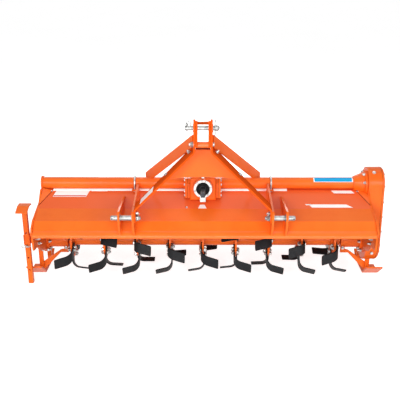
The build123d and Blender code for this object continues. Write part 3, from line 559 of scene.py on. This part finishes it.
def plate(shape, place, outline, thick, edge=0.5):
    """Flat plate of an outline in local X and Y, with a chamfer round its upper face."""
    outline = [Vector(p) for p in outline]
    area = sum(a.x * b.y - b.x * a.y for a, b in zip(outline, outline[1:] + outline[:1]))
    if area < 0:
        outline.reverse()
    levels = [(outline, 0), (outline, thick - edge), (inset(outline, edge), thick)]
    shape.add(place, *skin([[(p.x, p.y, h) for p in line] for line, h in levels]))


def any_roll():
    """How far round a bolt's head happens to stand, in degrees."""
    return dice.uniform(0, 60)


def bolt_circle(shape, side, x, z, radius, count, first, size, stud=0.0, above=0.0):
    """Bolts round an axis along X at the height z, with their heads to one side."""
    for k in range(count):
        a = math.radians(360 / count * k + first)
        up = z + radius * math.sin(a)
        if up > above:
            spot = at(x, -radius * math.cos(a), up, (side, 0, 0), any_roll())
            bolt(shape, spot, size, stud)


def piece(name, shape, body, finish, node=None):
    """Turns a shape into an object that rides on a body, and may replace a CAD node."""
    mesh = bpy.data.meshes.new(name)
    mesh.from_pydata([metres(p) for p in shape.points], [], shape.faces)
    work = bmesh.new()
    work.from_mesh(mesh)
    bmesh.ops.recalc_face_normals(work, faces=work.faces)
    work.to_mesh(mesh)
    work.free()
    mesh.shade_smooth()
    mesh.set_sharp_from_angle(angle=math.radians(38))
    mesh.materials.append(finish)
    obj = bpy.data.objects.new(name, mesh)
    bpy.context.scene.collection.objects.link(obj)
    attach(obj, body)
    if node:
        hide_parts(node)


# ---------------- blades
ring_pitch = 2 * (HUB_END - RING_END) / (RINGS - 1)
ring_places = [RING_SHIFT + (i - (RINGS - 1) / 2) * ring_pitch for i in range(RINGS)]


def blade_sections():
    """Rows of section points of a blade whose wing points to +X, over the rotor's axis."""
    turn, slant = math.radians(BLADE_TURN), math.radians(BLADE_LEAN)
    wing = BLADE_FLAT - BLADE_BEND * turn
    rise = BLADE_BEND * math.sin(turn) + wing * math.cos(turn)
    reach = BLADE_BEND * (1 - math.cos(turn)) + wing * math.sin(turn)
    half_w = BLADE_W / 2 / math.cos(slant)
    side = half_w + BLADE_SWEEP * reach + rise * math.tan(slant)
    inward = rise * math.cos(slant) + side * math.sin(slant)
    fold_r = math.sqrt(TIP_R ** 2 + inward ** 2 - rise ** 2 - side ** 2) - inward
    fold_z, fold_u = fold_r * math.cos(slant), fold_r * math.sin(slant)
    root_z = BLADE_ROOT * math.cos(slant)

    stations = []                              # (X, height, angle, bevel, narrowing)
    shank, round_root, round_tip = fold_z - root_z, 16.0, 7.0
    for cut in (0.0, 0.12, 0.35, 0.65, 1.0):
        off = round_root * (1 - math.sqrt(1 - (1 - cut) ** 2))
        stations.append((0, root_z + cut * round_root, 0, 0.1, off))
    for part in (0.45, 0.75):
        stations.append((0, root_z + part * shank, 0, 0.1 + part, 0))
    for k in range(11):
        angle = turn * k / 10
        x, z = BLADE_BEND * (1 - math.cos(angle)), fold_z + BLADE_BEND * math.sin(angle)
        stations.append((x, z, angle, 1, 0))
    ahead = (math.sin(turn), math.cos(turn))
    x0, z0 = stations[-1][:2]
    for along in (0.4, 0.75):
        stations.append((x0 + along * wing * ahead[0], z0 + along * wing * ahead[1], turn, 1, 0))
    for cut in (1.0, 0.65, 0.35, 0.12, 0.0):
        along = wing - cut * round_tip
        off = round_tip * (1 - math.sqrt(1 - (1 - cut) ** 2))
        stations.append((x0 + along * ahead[0], z0 + along * ahead[1], turn, 1, off))

    rows = []
    for x, z, angle, bevel, off in stations:
        nx, nz = math.cos(angle), -math.sin(angle)      # from the outer face inwards

        def edge(sign, depth, back=0.0):
            px, pz = x + nx * depth, z + nz * depth
            u = fold_u + sign * (half_w - off - back) + BLADE_SWEEP * px
            return (px, u + math.tan(slant) * (pz - fold_z), pz)

        cut, land = 14.0 * min(1, bevel), 1.8 + (BLADE_T - 2.8) * (1 - min(1, bevel))
        rows.append([
            edge(-1, 1.0), edge(-1, 0.0, 1.0), edge(1, 0.0, 0.7), edge(1, 0.7),
            edge(1, land), edge(1, BLADE_T, max(0.8, cut)), edge(-1, BLADE_T, 1.0),
            edge(-1, BLADE_T - 1.0),
        ])
    return rows


def rotor_place(ring_x, hand, phi):
    """Place of a blade: local X across, Y along its sweep, Z outwards."""
    turn, slant = math.radians(phi), math.radians(BLADE_LEAN)
    r = Vector((0, -math.cos(turn), -math.sin(turn)))
    t = Vector((0, math.sin(turn), -math.cos(turn)))
    b = math.cos(slant) * t + math.sin(slant) * r
    n = math.cos(slant) * r - math.sin(slant) * t
    spot = (ring_x - hand * (RING_T / 2 + BLADE_T), 0, ROTOR_Z)
    columns = (Vector((hand, 0, 0)), b, n, Vector(spot))
    return Matrix([[c[i] for c in columns] for i in range(3)] + [[0, 0, 0, 1]])


def blades():
    """Three blades to each side of a ring, bolted on, each ring a step further round."""
    points, faces = skin(blade_sections())
    bolts = Shape()
    for hand, name in ((1, "right"), (-1, "left")):
        shape = Shape()
        lag = 0 if hand > 0 else HAND_LAG
        for i, x in enumerate(ring_places):
            for k in range(3):
                phi = HELIX_START + HELIX_STEP * i + lag + 120 * k
                shape.add(rotor_place(x, hand, phi), points, faces)
                a = math.radians(phi)
                for r in BLADE_BOLTS:
                    y, z = -r * math.cos(a), ROTOR_Z - r * math.sin(a)
                    roll = any_roll()
                    head = x - hand * (RING_T / 2 + BLADE_T)
                    bolt(bolts, at(head, y, z, (-hand, 0, 0), roll), BLADE_BOLT)
                    bolt(bolts, at(x + hand * RING_T / 2, y, z, (hand, 0, 0), roll), BLADE_BOLT, 5)
        piece("blade_set_" + name, shape, "rotor", BLACK, "blades_" + name)
    piece("blade_bolts", bolts, "rotor", FASTENER)


def rotor_welds():
    """Beads on both sides of each blade ring, round the rotor's tube."""
    tube_r, bead = 41.0, 4.5
    shape = Shape()
    for x in ring_places:
        for side in (-1, 1):
            weld_ring(shape, x + side * RING_T / 2, tube_r, bead)
    piece("ring_welds", shape, "rotor", ORANGE)


# ---------------- gearbox and side case
def gearbox_trim():
    """Bolts and gaskets of the gearbox's flanges, lid and seal, a breather and a plug."""
    flange_out, flange_in, lid_z, seal_bolt_r, gasket = 110, 95, 722, 49, 1.4
    flange_bolts = ((-90, 676), (-111, 655), (-111, 612), (-104, 583),
                    (-50, 678), (4, 680), (46, 664), (48, 614))
    flange = [(-125, 663), (-99, 691), (37, 691), (63, 663),
              (63, 590), (-37, 590), (-99, 571), (-125, 571)]
    breather = [(13, 0), (13, 6), (9, 8), (9, 20), (14, 22), (14, 30), (11, 33)]
    bolts, dark, plugs = Shape(), Shape(), Shape()
    for side in (-1, 1):
        for y, z in flange_bolts:
            bolt(bolts, at(CENTRE_X + side * flange_out, y, z, (side, 0, 0), any_roll()), 8)
        plate(dark, upright(CENTRE_X + side * flange_in - gasket / 2), flange, gasket, 0.2)
    for y in (-86, 30, -28):
        for x in (-42, 42):
            bolt(bolts, at(CENTRE_X + x, y, lid_z, roll=any_roll()), 8)
    for k in range(6):
        a = math.radians(60 * k + 12)
        x, z = CENTRE_X + seal_bolt_r * math.cos(a), PTO_Z + seal_bolt_r * math.sin(a)
        bolt(bolts, at(x, SEAL_FRONT, z, (0, -1, 0), any_roll()), 6.5)
    bolt(bolts, at(CENTRE_X, -160, 721, (0, -1, 0), 15), 9)
    piece("gearbox_bolts", bolts, "frame", FASTENER)
    for off, radius, bore, thick in ((-0.6, 42, 33, 4), (2, 39.6, 20.5, 6)):
        washer(dark, at(CENTRE_X, SEAL_FRONT + off, PTO_Z, (0, 1, 0)), radius, bore, thick)
    piece("gearbox_gaskets", dark, "frame", RUBBER)
    lathe(plugs, at(CENTRE_X - 22, -40, lid_z), breather, 20)
    hexagon(plugs, at(CENTRE_X + 30, 66, 640, (0, 1, 0)), 15, 10)
    piece("gearbox_breather", plugs, "frame", DARK)


CASE_TILT = math.asin((CASE_LOW_R - CASE_TOP_R) / (BEAM_Z - ROTOR_Z))


def case_arcs(off, top_steps, low_steps):
    """Points in Y and Z along the case's two round ends, moved outwards by a distance."""
    points = []
    for radius, z, start, turn, steps in (
        (CASE_TOP_R + off, BEAM_Z, CASE_TILT, math.pi - 2 * CASE_TILT, top_steps),
        (CASE_LOW_R + off, ROTOR_Z, math.pi - CASE_TILT, math.pi + 2 * CASE_TILT, low_steps),
    ):
        for k in range(steps + 1):
            a = start + turn * k / steps
            points.append((radius * math.cos(a), z + radius * math.sin(a)))
    return points


def case_trim():
    """Bolts round the case's cover and its flange, two plugs and the cover's gasket."""
    edge_in, flange_x, flange_r, gasket = 21.0, HOOD_HALF - 16, 73, 1.4
    bolts = Shape()
    spots = case_arcs(-edge_in, 6, 7)
    top_y, low_y = CASE_TOP_R - edge_in, CASE_LOW_R - edge_in
    for side in (-1, 1):
        for part in (0.25, 0.5, 0.75):
            y = side * (top_y * (1 - part) + low_y * part)
            spots.append((y, BEAM_Z + (ROTOR_Z - BEAM_Z) * part))
    for y, z in spots:
        bolt(bolts, at(COVER_OUT, y, z, (1, 0, 0), any_roll()), 8)
    bolt_circle(bolts, -1, flange_x, BEAM_Z, flange_r, 8, 20, 10, 5, CREST_Z + 12)
    piece("case_bolts", bolts, "frame", FASTENER)

    plugs = Shape()
    a, plug_r = math.radians(58), 103
    out = (0, -math.cos(a), math.sin(a))
    place = at(1054, plug_r * out[1], BEAM_Z + plug_r * out[2], out)
    lathe(plugs, place, [(11, 0), (11, 2.4), (10, 3)], 24)
    hexagon(plugs, place @ Matrix.Translation((0, 0, 3)), 9, 6)
    hexagon(plugs, at(1068, -124, ROTOR_Z - 40, (0, -1, 0)), 11, 10)
    piece("case_plugs", plugs, "frame", FASTENER)

    seam = Shape()
    plate(seam, upright(CASE_OUT - gasket / 2), case_arcs(0.8, 24, 24), gasket, 0.2)
    piece("case_gasket", seam, "frame", RUBBER)


def hub_trim():
    """Bolts of the bearing hubs, side plates, skids and guards, and grease nipples."""
    hub_bolt_r, cap_bolt_r = 59, 32
    bolts, nipples = Shape(), Shape()
    for side in (-1, 1):
        bolt_circle(bolts, -side, side * (HOOD_HALF - 14), ROTOR_Z, hub_bolt_r, 6, 8, 10, 6)
        spot = at(side * 965, -35, ROTOR_Z + 36, (0, -0.7, 0.7))
        lathe(nipples, spot, [(5, 0), (5, 6), (3, 7), (3, 12), (4, 13), (2, 15)], 10)
    bolt_circle(bolts, -1, CAP_OUT, ROTOR_Z, cap_bolt_r, 4, 45, 8)
    for side in (-1, 1):
        for y, z in ((-284, 366), (-260, 326)):
            bolt(bolts, at(side * HOOD_HALF, y, z, (-side, 0, 0), any_roll()), 11, 10)
            if side < 0:
                bolt(bolts, at(side * PLATE_OUT, y, z, (side, 0, 0), any_roll()), 11)
        bolt(bolts, at(side * HOOD_HALF, -54, 186, (-side, 0, 0), 20), 12, 14)
        bolt(bolts, at(side * (HUB_END + 14), POST_FRONT + 14, 197, (0, -1, 0), 15), 10, 4)
        bolt(bolts, at(side * 1043, POST_FRONT, 190, (0, -1, 0), 5), 12, 4)
    bolt(bolts, at(1040, POST_FRONT, 166, (0, -1, 0), 25), 9)
    piece("hub_bolts", bolts, "frame", FASTENER)
    piece("grease_nipples", nipples, "frame", FASTENER)


# ---------------- mast, hitch and clamps
def splayed(z):
    """Inner face of a mast plate between its bends, from the machine's middle."""
    return MAST_IN + (MAST_BEND - z) * MAST_SPLAY


def mast_plates():
    """Bent mast plates with ears that fall to the rear, in place of the square ones."""
    fronts = [(MAST_TOP, -467), (1147, -478.5), (TOP_PIN_Z, -480), (MAST_BEND, -470),
              (585, -430), (MAST_FOOT, -430)]
    backs = [(1132, -384), (1126, -382), (1056, -382), (956, -322), (MAST_FOOT, -325)]
    bend = (12, 8, 4, 0, -4, -8, -12)
    flats = [TOP_PIN_Z, 1056, 1000] + [MAST_BEND + d for d in bend]
    flats += [930, 880, 830, 780, 730, 680, 640]
    flats += [MAST_KNEE + d for d in bend] + [MAST_FOOT]
    levels = [(MAST_TOP, 1132), (1147, 1126)] + [(z, z) for z in flats]
    edge, cheek_t = 1.2, 12
    cheek = [(-468, 996), (-402, 996), (-402, 1131), (-466, 1147), (-468, 1145)]

    def depth(line, z):
        """Y at a height, on a line of (Z, Y) points that runs down."""
        for (z0, y0), (z1, y1) in zip(line, line[1:]):
            if z >= z1:
                return y0 + (y1 - y0) * (z0 - min(z, z0)) / (z0 - z1)
        return line[-1][1]

    def reach(z):
        """Inner face: straight, splayed, straight, with soft bends."""
        near = [min(max(z + 2.5 * k, MAST_KNEE), MAST_BEND) for k in range(-4, 5)]
        return sum(splayed(u) for u in near) / len(near)

    for side, hand in ((1, "right"), (-1, "left")):
        rows = []
        for front_z, back_z in levels:
            row = []
            for z, line, ahead in ((front_z, fronts, 1), (back_z, backs, -1)):
                y, tilt = depth(line, z), (reach(z - 2) - reach(z + 2)) / 4
                near, thick = reach(z), MAST_T * math.sqrt(1 + tilt * tilt)
                spots = [(near + thick, y + edge * ahead), (near + thick - edge, y),
                         (near + edge, y), (near, y + edge * ahead)]
                row += [(CENTRE_X + side * x, v, z) for x, v in spots[::ahead]]
            rows.append(row)
        shape = Shape()
        shape.add(IN_PLACE, *skin(rows))
        x0 = CENTRE_X + (MAST_IN - cheek_t if side > 0 else -MAST_IN)
        plate(shape, upright(x0), cheek, cheek_t, 0.8)
        # the plates wear the darker enamel: painted shade
        piece("mast_side_" + hand, shape, "frame", MAST_SHADED_PAINT,
              "mast_plate_" + hand)


def mast_shield():
    """Bent sheet between the legs, with a top flange that runs back under the spacer, and a dark
    strip of painted shadow on that flange.
    """
    top_z, low_z, y, thick, gap, arch = 962.0, 780.0, -385.0, 5.0, 0.5, 18
    top_half, low_half = splayed(top_z) - gap, splayed(low_z) - gap
    line = [(-top_half, top_z), (-low_half, low_z)]
    for k in range(13):
        x = -low_half + 2 * low_half * k / 12
        line.append((x, low_z + arch * min(1, 1.9 * (1 - abs(x) / low_half))))
    line += [(low_half, low_z), (top_half, top_z)]
    shape = Shape()
    face = Matrix(((1, 0, 0, CENTRE_X), (0, 0, 1, y), (0, 1, 0, 0), (0, 0, 0, 1)))
    shape.add(face, *skin([[(x, z, h) for x, z in line] for h in (0, thick)]))
    flange = [(y + 0.5, top_z - 4), (y - 0.2, top_z - 1), (y + 1.5, top_z + 0.2),
              (y + 46, top_z + 3), (y + 52, top_z + 26), (y + 47, top_z + 27),
              (y + 42, top_z - 2)]
    bar(shape, flange, CENTRE_X - 41.7, CENTRE_X + 41.7)
    piece("mast_front_sheet", shape, "frame", ORANGE, "mast_shield")
    # a dark strip on the flange, under the spacer: painted shadow
    edge = Shape()
    seam = [(y + 3, top_z + 0.6), (y + 41, top_z + 3.2), (y + 41, top_z + 5), (y + 3, top_z + 1.4)]
    bar(edge, seam, CENTRE_X - 41.5, CENTRE_X + 41.5)
    piece("mast_front_shadow_strip", edge, "frame", PAINTED_SHADOW)


def mast_trim():
    """Bolts of the spacer and the front sheet, and what holds the top pin."""
    bolts, ring = Shape(), Shape()
    outer = MAST_IN + MAST_T
    bolt(bolts, at(CENTRE_X - outer, SPACER_Y, SPACER_Z, (-1, 0, 0), 10), 18, 8)
    bolt(bolts, at(CENTRE_X + outer, SPACER_Y, SPACER_Z, (1, 0, 0), 20), 14)
    for side in (-1, 1):
        out = Vector((side * 0.72, 0, 0.69))
        for x, y, z, stud in ((213, -360, 806, 0), (77, -398, 949, 7)):
            bolt(bolts, at(CENTRE_X + side * x, y, z, out, 15), 11, stud)
    piece("mast_bolts", bolts, "frame", FASTENER)

    # the top pin's grip on the right, its lynch pin on the left
    grip_x, grip_wire, lynch_x, lynch_wire = CENTRE_X + 66, 2.8, CENTRE_X - 88, 2.2
    grip = [(grip_x, TOP_PIN_Y + 15 * math.cos(a), TOP_PIN_Z + 48 * math.sin(a))
            for a in (TAU * k / 48 for k in range(48))]
    sweep(ring, grip, grip_wire, 8, True)
    stem = [(grip_x, TOP_PIN_Y, TOP_PIN_Z + s) for s in (-47, -20, 0, 20, 47)]
    sweep(ring, stem, grip_wire, 8)
    lynch = [(2, 0), (4, 3), (4, 34), (8, 35), (8, 44), (6, 46)]
    lathe(ring, at(lynch_x, TOP_PIN_Y, TOP_PIN_Z - 20), lynch, 14)
    x, y, z = lynch_x + 8, TOP_PIN_Y - 2, TOP_PIN_Z + 23
    hoop = [(x + 13 * math.cos(a), y + 10 * math.sin(a), z + 11 * math.sin(a))
            for a in (TAU * k / 32 for k in range(32))]
    sweep(ring, hoop, lynch_wire, 8, True)
    for side in (-1, 1):
        spot = at(CENTRE_X + side * outer, TOP_PIN_Y, TOP_PIN_Z, (side, 0, 0))
        washer(ring, spot, 22, 13.2, 3)
    piece("top_pin_rings", ring, "frame", ZINC)


def clamp_trim():
    """U-bolts over the beam tube, in place of the plain hoops."""
    hoops, lugs = Shape(), Shape()
    low, high = box("tube_clamps")
    r, rod = BEAM_R + 6.3, 5.6
    lug = [(-20, -18), (20, -18), (20, 18), (-20, 18)]
    for x, side in ((low[0] + 6, -1), (high[0] - 6, 1)):
        over = [math.radians(180 - 180 * k / 24) for k in range(25)]
        path = [(x, r * math.cos(a), BEAM_Z + r * math.sin(a)) for a in over]
        sweep(hoops, [(x, -r, 578)] + path + [(x, r, 598)], rod, 12)
        lathe(hoops, at(x, -r, 572), [(rod - 1, 0), (rod, 1), (rod, 8)], 12)
        bolt(hoops, at(x, -r, 594, (0, 0, -1), 15), 11)
        bolt(hoops, at(x, r, 600, (0, 0, 1), 15), 11)
        plate(lugs, at(x - side * 4, -r - 2, 594), lug, 7, 1)
    piece("u_bolts", hoops, "frame", FASTENER, "tube_clamps")
    piece("clamp_lugs", lugs, "frame", ORANGE)


def hitch_pins():
    """Turned pins with shoulders and nuts, with a dark disc of painted shade where each cross hole
    is, in place of the plain ones.
    """
    pin = [(10, 0), (11, 1.5), (11, 27), (14.4, 27.5), (14.4, 133), (14, 133.5), (14, 150),
           (13, 150.6), (13, 153.4), (14, 154), (14, 171), (11.5, 175)]
    pin_start, nut_x, hole_x, pin_r = 362, 386, 528, 14.05

    def across(side, x, away):
        return at(CENTRE_X + side * x, HITCH_Y, HITCH_Z, (side * away, 0, 0))

    for side, hand in ((1, "right"), (-1, "left")):
        shape, dark = Shape(), Shape()
        lathe(shape, across(side, pin_start, 1), pin, 32)
        hexagon(shape, at(CENTRE_X + side * nut_x, HITCH_Y, HITCH_Z, (-side, 0, 0), 14), 18, 15)
        for x, away in ((HITCH_FAR, 1), (HITCH_FAR - HITCH_T, -1), (HITCH_NEAR, 1)):
            washer(shape, across(side, x, away), 22, 14.8, 3)
        washer(shape, across(side, MAST_FOOT_IN - 0.2, -1), 20, 11.5, 3)
        piece("hitch_bar_" + hand, shape, "frame", ZINC, "hitch_pin_" + hand)
        # a dark disc on the pin where its cross hole is: painted shade of the hole
        hole = at(CENTRE_X + side * hole_x, HITCH_Y - pin_r, HITCH_Z, (0, -1, 0))
        lathe(dark, hole, [(4.2, -1), (4.2, 0.2), (3.8, 0.25)], 16)
        piece("hitch_hole_shade_" + hand, dark, "frame", DARK)
    bolts = Shape()
    for side in (-1, 1):
        for up_y, up_z in ((6, 28), (40, 10)):
            spot = (CENTRE_X + side * MAST_FOOT_IN, HITCH_Y + up_y, HITCH_Z + up_z)
            bolt(bolts, at(*spot, (-side, 0, 0), 12), 11, 5)
    piece("hitch_bolts", bolts, "frame", FASTENER)


# ---------------- parking leg
def leg_channel():
    """Open channel with narrow lips round the leg, in place of the closed sleeve."""
    low, high = box("leg_sleeve")[0][2], box("leg_sleeve")[1][2]
    y = LEG_PIN_FRONT + 32                     # the channel's middle
    inner, outer, lip = 15.6, 19.0, 13.2
    outline = [(-outer, -outer), (-lip, -outer), (-lip, -inner), (-inner, -inner),
               (-inner, inner), (inner, inner), (inner, -inner), (lip, -inner),
               (lip, -outer), (outer, -outer), (outer, outer), (-outer, outer)]
    arm = [(LEG_X + 20, y + 12), (-PLATE_OUT, y + 12), (-PLATE_OUT, y + 22), (LEG_X + 18, y + 22)]
    shape = Shape()
    for line in ([(LEG_X + x, y + v) for x, v in outline], arm):
        shape.add(IN_PLACE, *skin([[(x, v, z) for x, v in line] for z in (low, high)]))
    piece("leg_channel", shape, "frame", ORANGE, "leg_sleeve")


def leg_trim():
    """Wire clip of the leg's pin, bent along a smooth curve."""
    y, wire = LEG_PIN_FRONT + 5, 2.0
    bends = ((24, 0), (4, 0), (-6, 5), (-14, 6), (-22, 2), (-29, 4), (-33, -1), (-31, -7),
             (-20, -8), (-6, -6), (14, -6))
    wave = [Vector((LEG_X + x, y, LEG_PIN_Z + z)) for x, z in bends]
    curve = []
    for a, b, c, d in zip([wave[0]] + wave, wave, wave[1:], wave[2:] + [wave[-1]]):
        for k in range(5):
            t = k / 5
            curve.append(0.5 * (2 * b + (c - a) * t + (2 * a - 5 * b + 4 * c - d) * t * t
                                + (3 * b - a - 3 * c + d) * t ** 3))
    curve.append(wave[-1])
    clip = Shape()
    sweep(clip, curve, wire, 8)
    piece("leg_pin_clip", clip, "parking_leg", ZINC)


# ---------------- stickers and strips
def on_slope(x, start, end, part, lift):
    """Point on a flat of the hood, part of the way from one bend to the next."""
    run = Vector((end[0] - start[0], end[1] - start[1]))
    up = Vector((-run.y, run.x)).normalized()
    spot = Vector(start) + part * run + lift * up
    return (x, spot.x, spot.y)


def sticker(name, corners, finish):
    """Thin sheet over four corners that lie in one plane, anticlockwise from above."""
    a, b, c, d = (Vector(p) for p in corners)
    up = (b - a).cross(d - a).normalized() * STICKER_T
    shape = Shape()
    shape.add(IN_PLACE, [a, b, c, d, a + up, b + up, c + up, d + up],
              [(0, 3, 2, 1), (4, 5, 6, 7), (0, 1, 5, 4), (1, 2, 6, 5), (2, 3, 7, 6), (3, 0, 4, 7)])
    piece(name, shape, "frame", finish)


def slope_sticker(name, low, high, finish, lift):
    """Sticker on the upper flat: each end is (part of the way up, left X, right X)."""
    spots = ((low[0], low[1]), (low[0], low[2]), (high[0], high[2]), (high[0], high[1]))
    sticker(name, [on_slope(x, BEND_1, CREST, part, lift) for part, x in spots], finish)


def stickers():
    """Blank labels on the hood, the mast and the beam tube."""
    for name, low, high, finish, lift in (
        ("left", (0.63, -948, -739), (0.975, -932, -722), WHITE, 0.3),
        ("left_stripe", (0.655, -944, -741), (0.705, -941, -738), RED, 0.9),
        ("left_tail", (0.935, -712, -612), (0.975, -708, -608), WHITE, 0.3),
        ("right", (0.83, 813, 941), (0.985, 797, 925), WHITE, 0.3),
        ("right_line", (0.795, 816, 944), (0.82, 815, 943), RED, 0.4),
        ("long", (0.07, 659, 910), (0.235, 640, 871), WHITE, 0.3),
        ("tail", (0.19, 626, 652), (0.25, 619, 655), WHITE, 0.3),
        ("middle", (0.02, -39, 13), (0.21, -28, 1), WHITE, 0.3),
    ):
        slope_sticker("sticker_" + name, low, high, finish, lift)

    # a plate on the outer face of the left mast leg
    face_out = Vector((-1, 0, MAST_SPLAY)).normalized()
    across = MAST_T * math.sqrt(1 + MAST_SPLAY * MAST_SPLAY)
    shape = Shape()
    loop = [Vector((CENTRE_X - splayed(z) - across, y, z))
            for z, y in ((650, -430), (650, -352), (728, -346), (728, -436))]
    rows = [[p - face_out for p in loop], [p + STICKER_T * face_out for p in loop]]
    shape.add(IN_PLACE, *skin(rows))
    piece("sticker_leg", shape, "frame", WHITE)

    # a blue one with a white rim, round the front of the beam tube
    for name, x0, x1, r, start, end, finish in (
        ("sticker_tube_rim", 686, 934, BEAM_R + 0.4, 98, 152, WHITE),
        ("sticker_tube", 692, 928, BEAM_R + 0.9, 95, 148, BLUE),
    ):
        rows = []
        for k in range(19):
            a = math.radians(start + (end - start) * k / 18)
            y, z, under = math.cos(a), math.sin(a), r - STICKER_T
            rows.append([(x, out * y, BEAM_Z + out * z)
                         for x, out in ((x0, under), (x1, under), (x1, r), (x0, r))])
        shape = Shape()
        shape.add(IN_PLACE, *skin(rows))
        piece(name, shape, "frame", finish)


def tube_highlight_strip():
    """Pale strip in front of the beam tube, on the hood's crest: a painted highlight."""
    outline = [(-42, -3.2), (-20, -0.4), (-20, 6.0), (-29, 8.0), (-38, 4.0), (-42, -1.4)]
    strip = Shape()
    for x0, x1 in ((-HOOD_HALF + 66, CENTRE_X - 112), (CENTRE_X + 112, 520)):
        bar(strip, [(y, CREST_Z + z) for y, z in outline], x0, x1)
    piece("tube_highlight_strip", strip, "frame", CREST_HIGHLIGHT)


# ---------------- hood, board and rear
def hood_trim():
    """Doubled sheet along the hood's front lip."""
    run = Vector((BEND_2[0] - LIP_Y, BEND_2[1] - LIP_HIGH))
    up = Vector((-run.y, run.x)).normalized()
    start, sheet = Vector((LIP_Y, LIP_HIGH)), 2.2
    a, b = start + run * 0.30, start + run * 0.33
    profile = [(LIP_Y - 0.2, LIP_LOW + 1), (LIP_Y - sheet, LIP_LOW + 1), (LIP_Y - sheet, LIP_HIGH),
               start + up * sheet, a + up * sheet, b + up * 0.1, b - up * 0.4,
               start - up * 0.4, (LIP_Y + 0.4, LIP_LOW + 1)]
    shape = Shape()
    bar(shape, profile, -HOOD_HALF + 1, HOOD_HALF - 1)
    # the hem's lighter enamel is a painted highlight along the lip
    piece("lip_hem", shape, "frame", HEM_LIT_PAINT)


def board_trim():
    """Pressed ribs across the trailing board, a rolled hem and the hinge bolts."""
    ahead, aside = math.cos(BOARD_LEAN), math.sin(BOARD_LEAN)
    half = box("trailing_board")[1][0]
    ribs_down, rib_r, hem_down, hem_off, hem_r = (96, 232), 7.0, 319, 12.5, 3.4

    def spot(x, down, off):
        return x, HINGE_Y + down * aside + off * ahead, HINGE_Z - down * ahead + off * aside

    ribs, bolts = Shape(), Shape()
    gaps = [-half + 30, -ROD_X - 60, -ROD_X + 60, ROD_X - 60, ROD_X + 60, half - 30]
    for down in ribs_down:
        for x0, x1 in zip(gaps[::2], gaps[1::2]):
            sweep(ribs, [Vector(spot(x, down, 2.5)) for x in (x0, x1)], rib_r, 12)
    hem = [Vector(spot(x, hem_down, hem_off)) for x in (-half + 1, half - 1)]
    sweep(ribs, hem, hem_r, 10)
    out = Vector((0, ahead, aside))
    for x in (-810, -270, 270, 810):
        for shift in (-24, 24):
            bolt(bolts, at(*spot(x + shift, 38, 4), out, 15), 11)
    piece("board_ribs", ribs, "trailing_board", ORANGE)
    piece("board_bolts", bolts, "trailing_board", FASTENER)


def hood_corners():
    """Folded facets at the hood's cut corners, dark lines along them that are painted shadow of
    the step, and small bolts.
    """
    facets, shadow_lines, bolts = Shape(), Shape(), Shape()
    down, lift, shadow_line_r = Vector((0, 0, -3)), Vector((0, -0.6, 1.6)), 2.0
    for side in (-1, 1):
        a = Vector((side * 955, -36.5, CREST_Z - 1.5))
        b = Vector((side * 1018.6, -169, CREST_Z - 51))
        c = Vector((side * 1018.6, -36.5, CREST_Z + 16))
        facets.add(IN_PLACE, [a, b, c, a + down, b + down, c + down],
                   [(0, 1, 2), (5, 4, 3), (0, 3, 4, 1), (1, 4, 5, 2), (2, 5, 3, 0)])
        # dark line along the folded step: painted shadow
        sweep(shadow_lines, [a + lift, a.lerp(b, 0.5) + lift, b + lift], shadow_line_r, 6)
        bolt(bolts, at(side * 962, -44, CREST_Z - 3, FLAT_OUT, 10), 7)
    x, y, z = on_slope(-109, BEND_1, CREST, 0.07, 0.0)
    bolt(bolts, at(x, y, z, FLAT_OUT, 10), 6)
    piece("corner_facets", facets, "frame", ORANGE)
    piece("corner_shadow_lines", shadow_lines, "frame", PAINTED_SHADOW)
    piece("hood_bolts", bolts, "frame", FASTENER)


def welds():
    """Beads at the hitch plates' feet, and rings at the rotor's ends."""
    toe, ring_in, ring_r, bead = (-380, 441), 140, 26, 3.5
    shape = Shape()
    for side in (-1, 1):
        for outer, heel in ((HITCH_NEAR, CREST), (HITCH_FAR, HITCH_HEEL)):
            for x in (outer, outer - HITCH_T):
                cx = CENTRE_X + side * x
                weld(shape, (cx, *toe), (cx, *BEND_2), (cx, *BEND_1), (cx, *heel))
        weld_ring(shape, side * (HOOD_HALF - ring_in), ring_r, bead)
    piece("welds", shape, "frame", ORANGE)


def springs():
    """Coil springs, rods, nuts and washers, in place of the plain ones."""
    run = math.hypot(GUIDE_Y - LUG_Y, GUIDE_Z - LUG_Z)
    ahead = Vector((0, GUIDE_Y - LUG_Y, GUIDE_Z - LUG_Z)) / run
    side = Vector((1, 0, 0))
    other = ahead.cross(side)
    long, coil_r, wire, seat, rod_r = 46, 15, 2.9, 3, 8
    steps = 81                                 # 18 to a turn, four and a half turns
    start = run + 4.3 + seat
    end = start + long
    coils, rods = Shape(), Shape()
    for x in (-ROD_X, ROD_X):
        eye = Vector((x, LUG_Y, LUG_Z))
        path = []
        for k in range(steps + 1):
            a = TAU * k / 18
            path.append(eye + ahead * (start + seat + (long - 2 * seat) * k / steps)
                        + coil_r * (math.cos(a) * side + math.sin(a) * other))
        sweep(coils, path, wire, 8)
        for low, high in ((start - seat, start), (end - 2, end)):
            washer(rods, at(*(eye + ahead * low), ahead), 19.5, rod_r + 0.3, high - low)
        rod = [(rod_r, 0), (rod_r, end + 8), (rod_r - 1.2, end + 10)]
        lathe(rods, at(*(eye + ahead * 12), ahead), rod, 20)
        hexagon(rods, at(*(eye + ahead * end), ahead, 10), 13.6, 12)
        washer(rods, at(*(eye - side * 9), side), 15, 6.3, 18)
    piece("rod_coils", coils, "hanger_rods", SPRING, "rod_springs")
    piece("hanger_rod_set", rods, "hanger_rods", ZINC, "hanger_rods")


blades()
rotor_welds()
gearbox_trim()
case_trim()
hub_trim()
mast_plates()
mast_shield()
mast_trim()
clamp_trim()
hitch_pins()
leg_channel()
leg_trim()
stickers()
tube_highlight_strip()
hood_trim()
board_trim()
hood_corners()
welds()
springs()
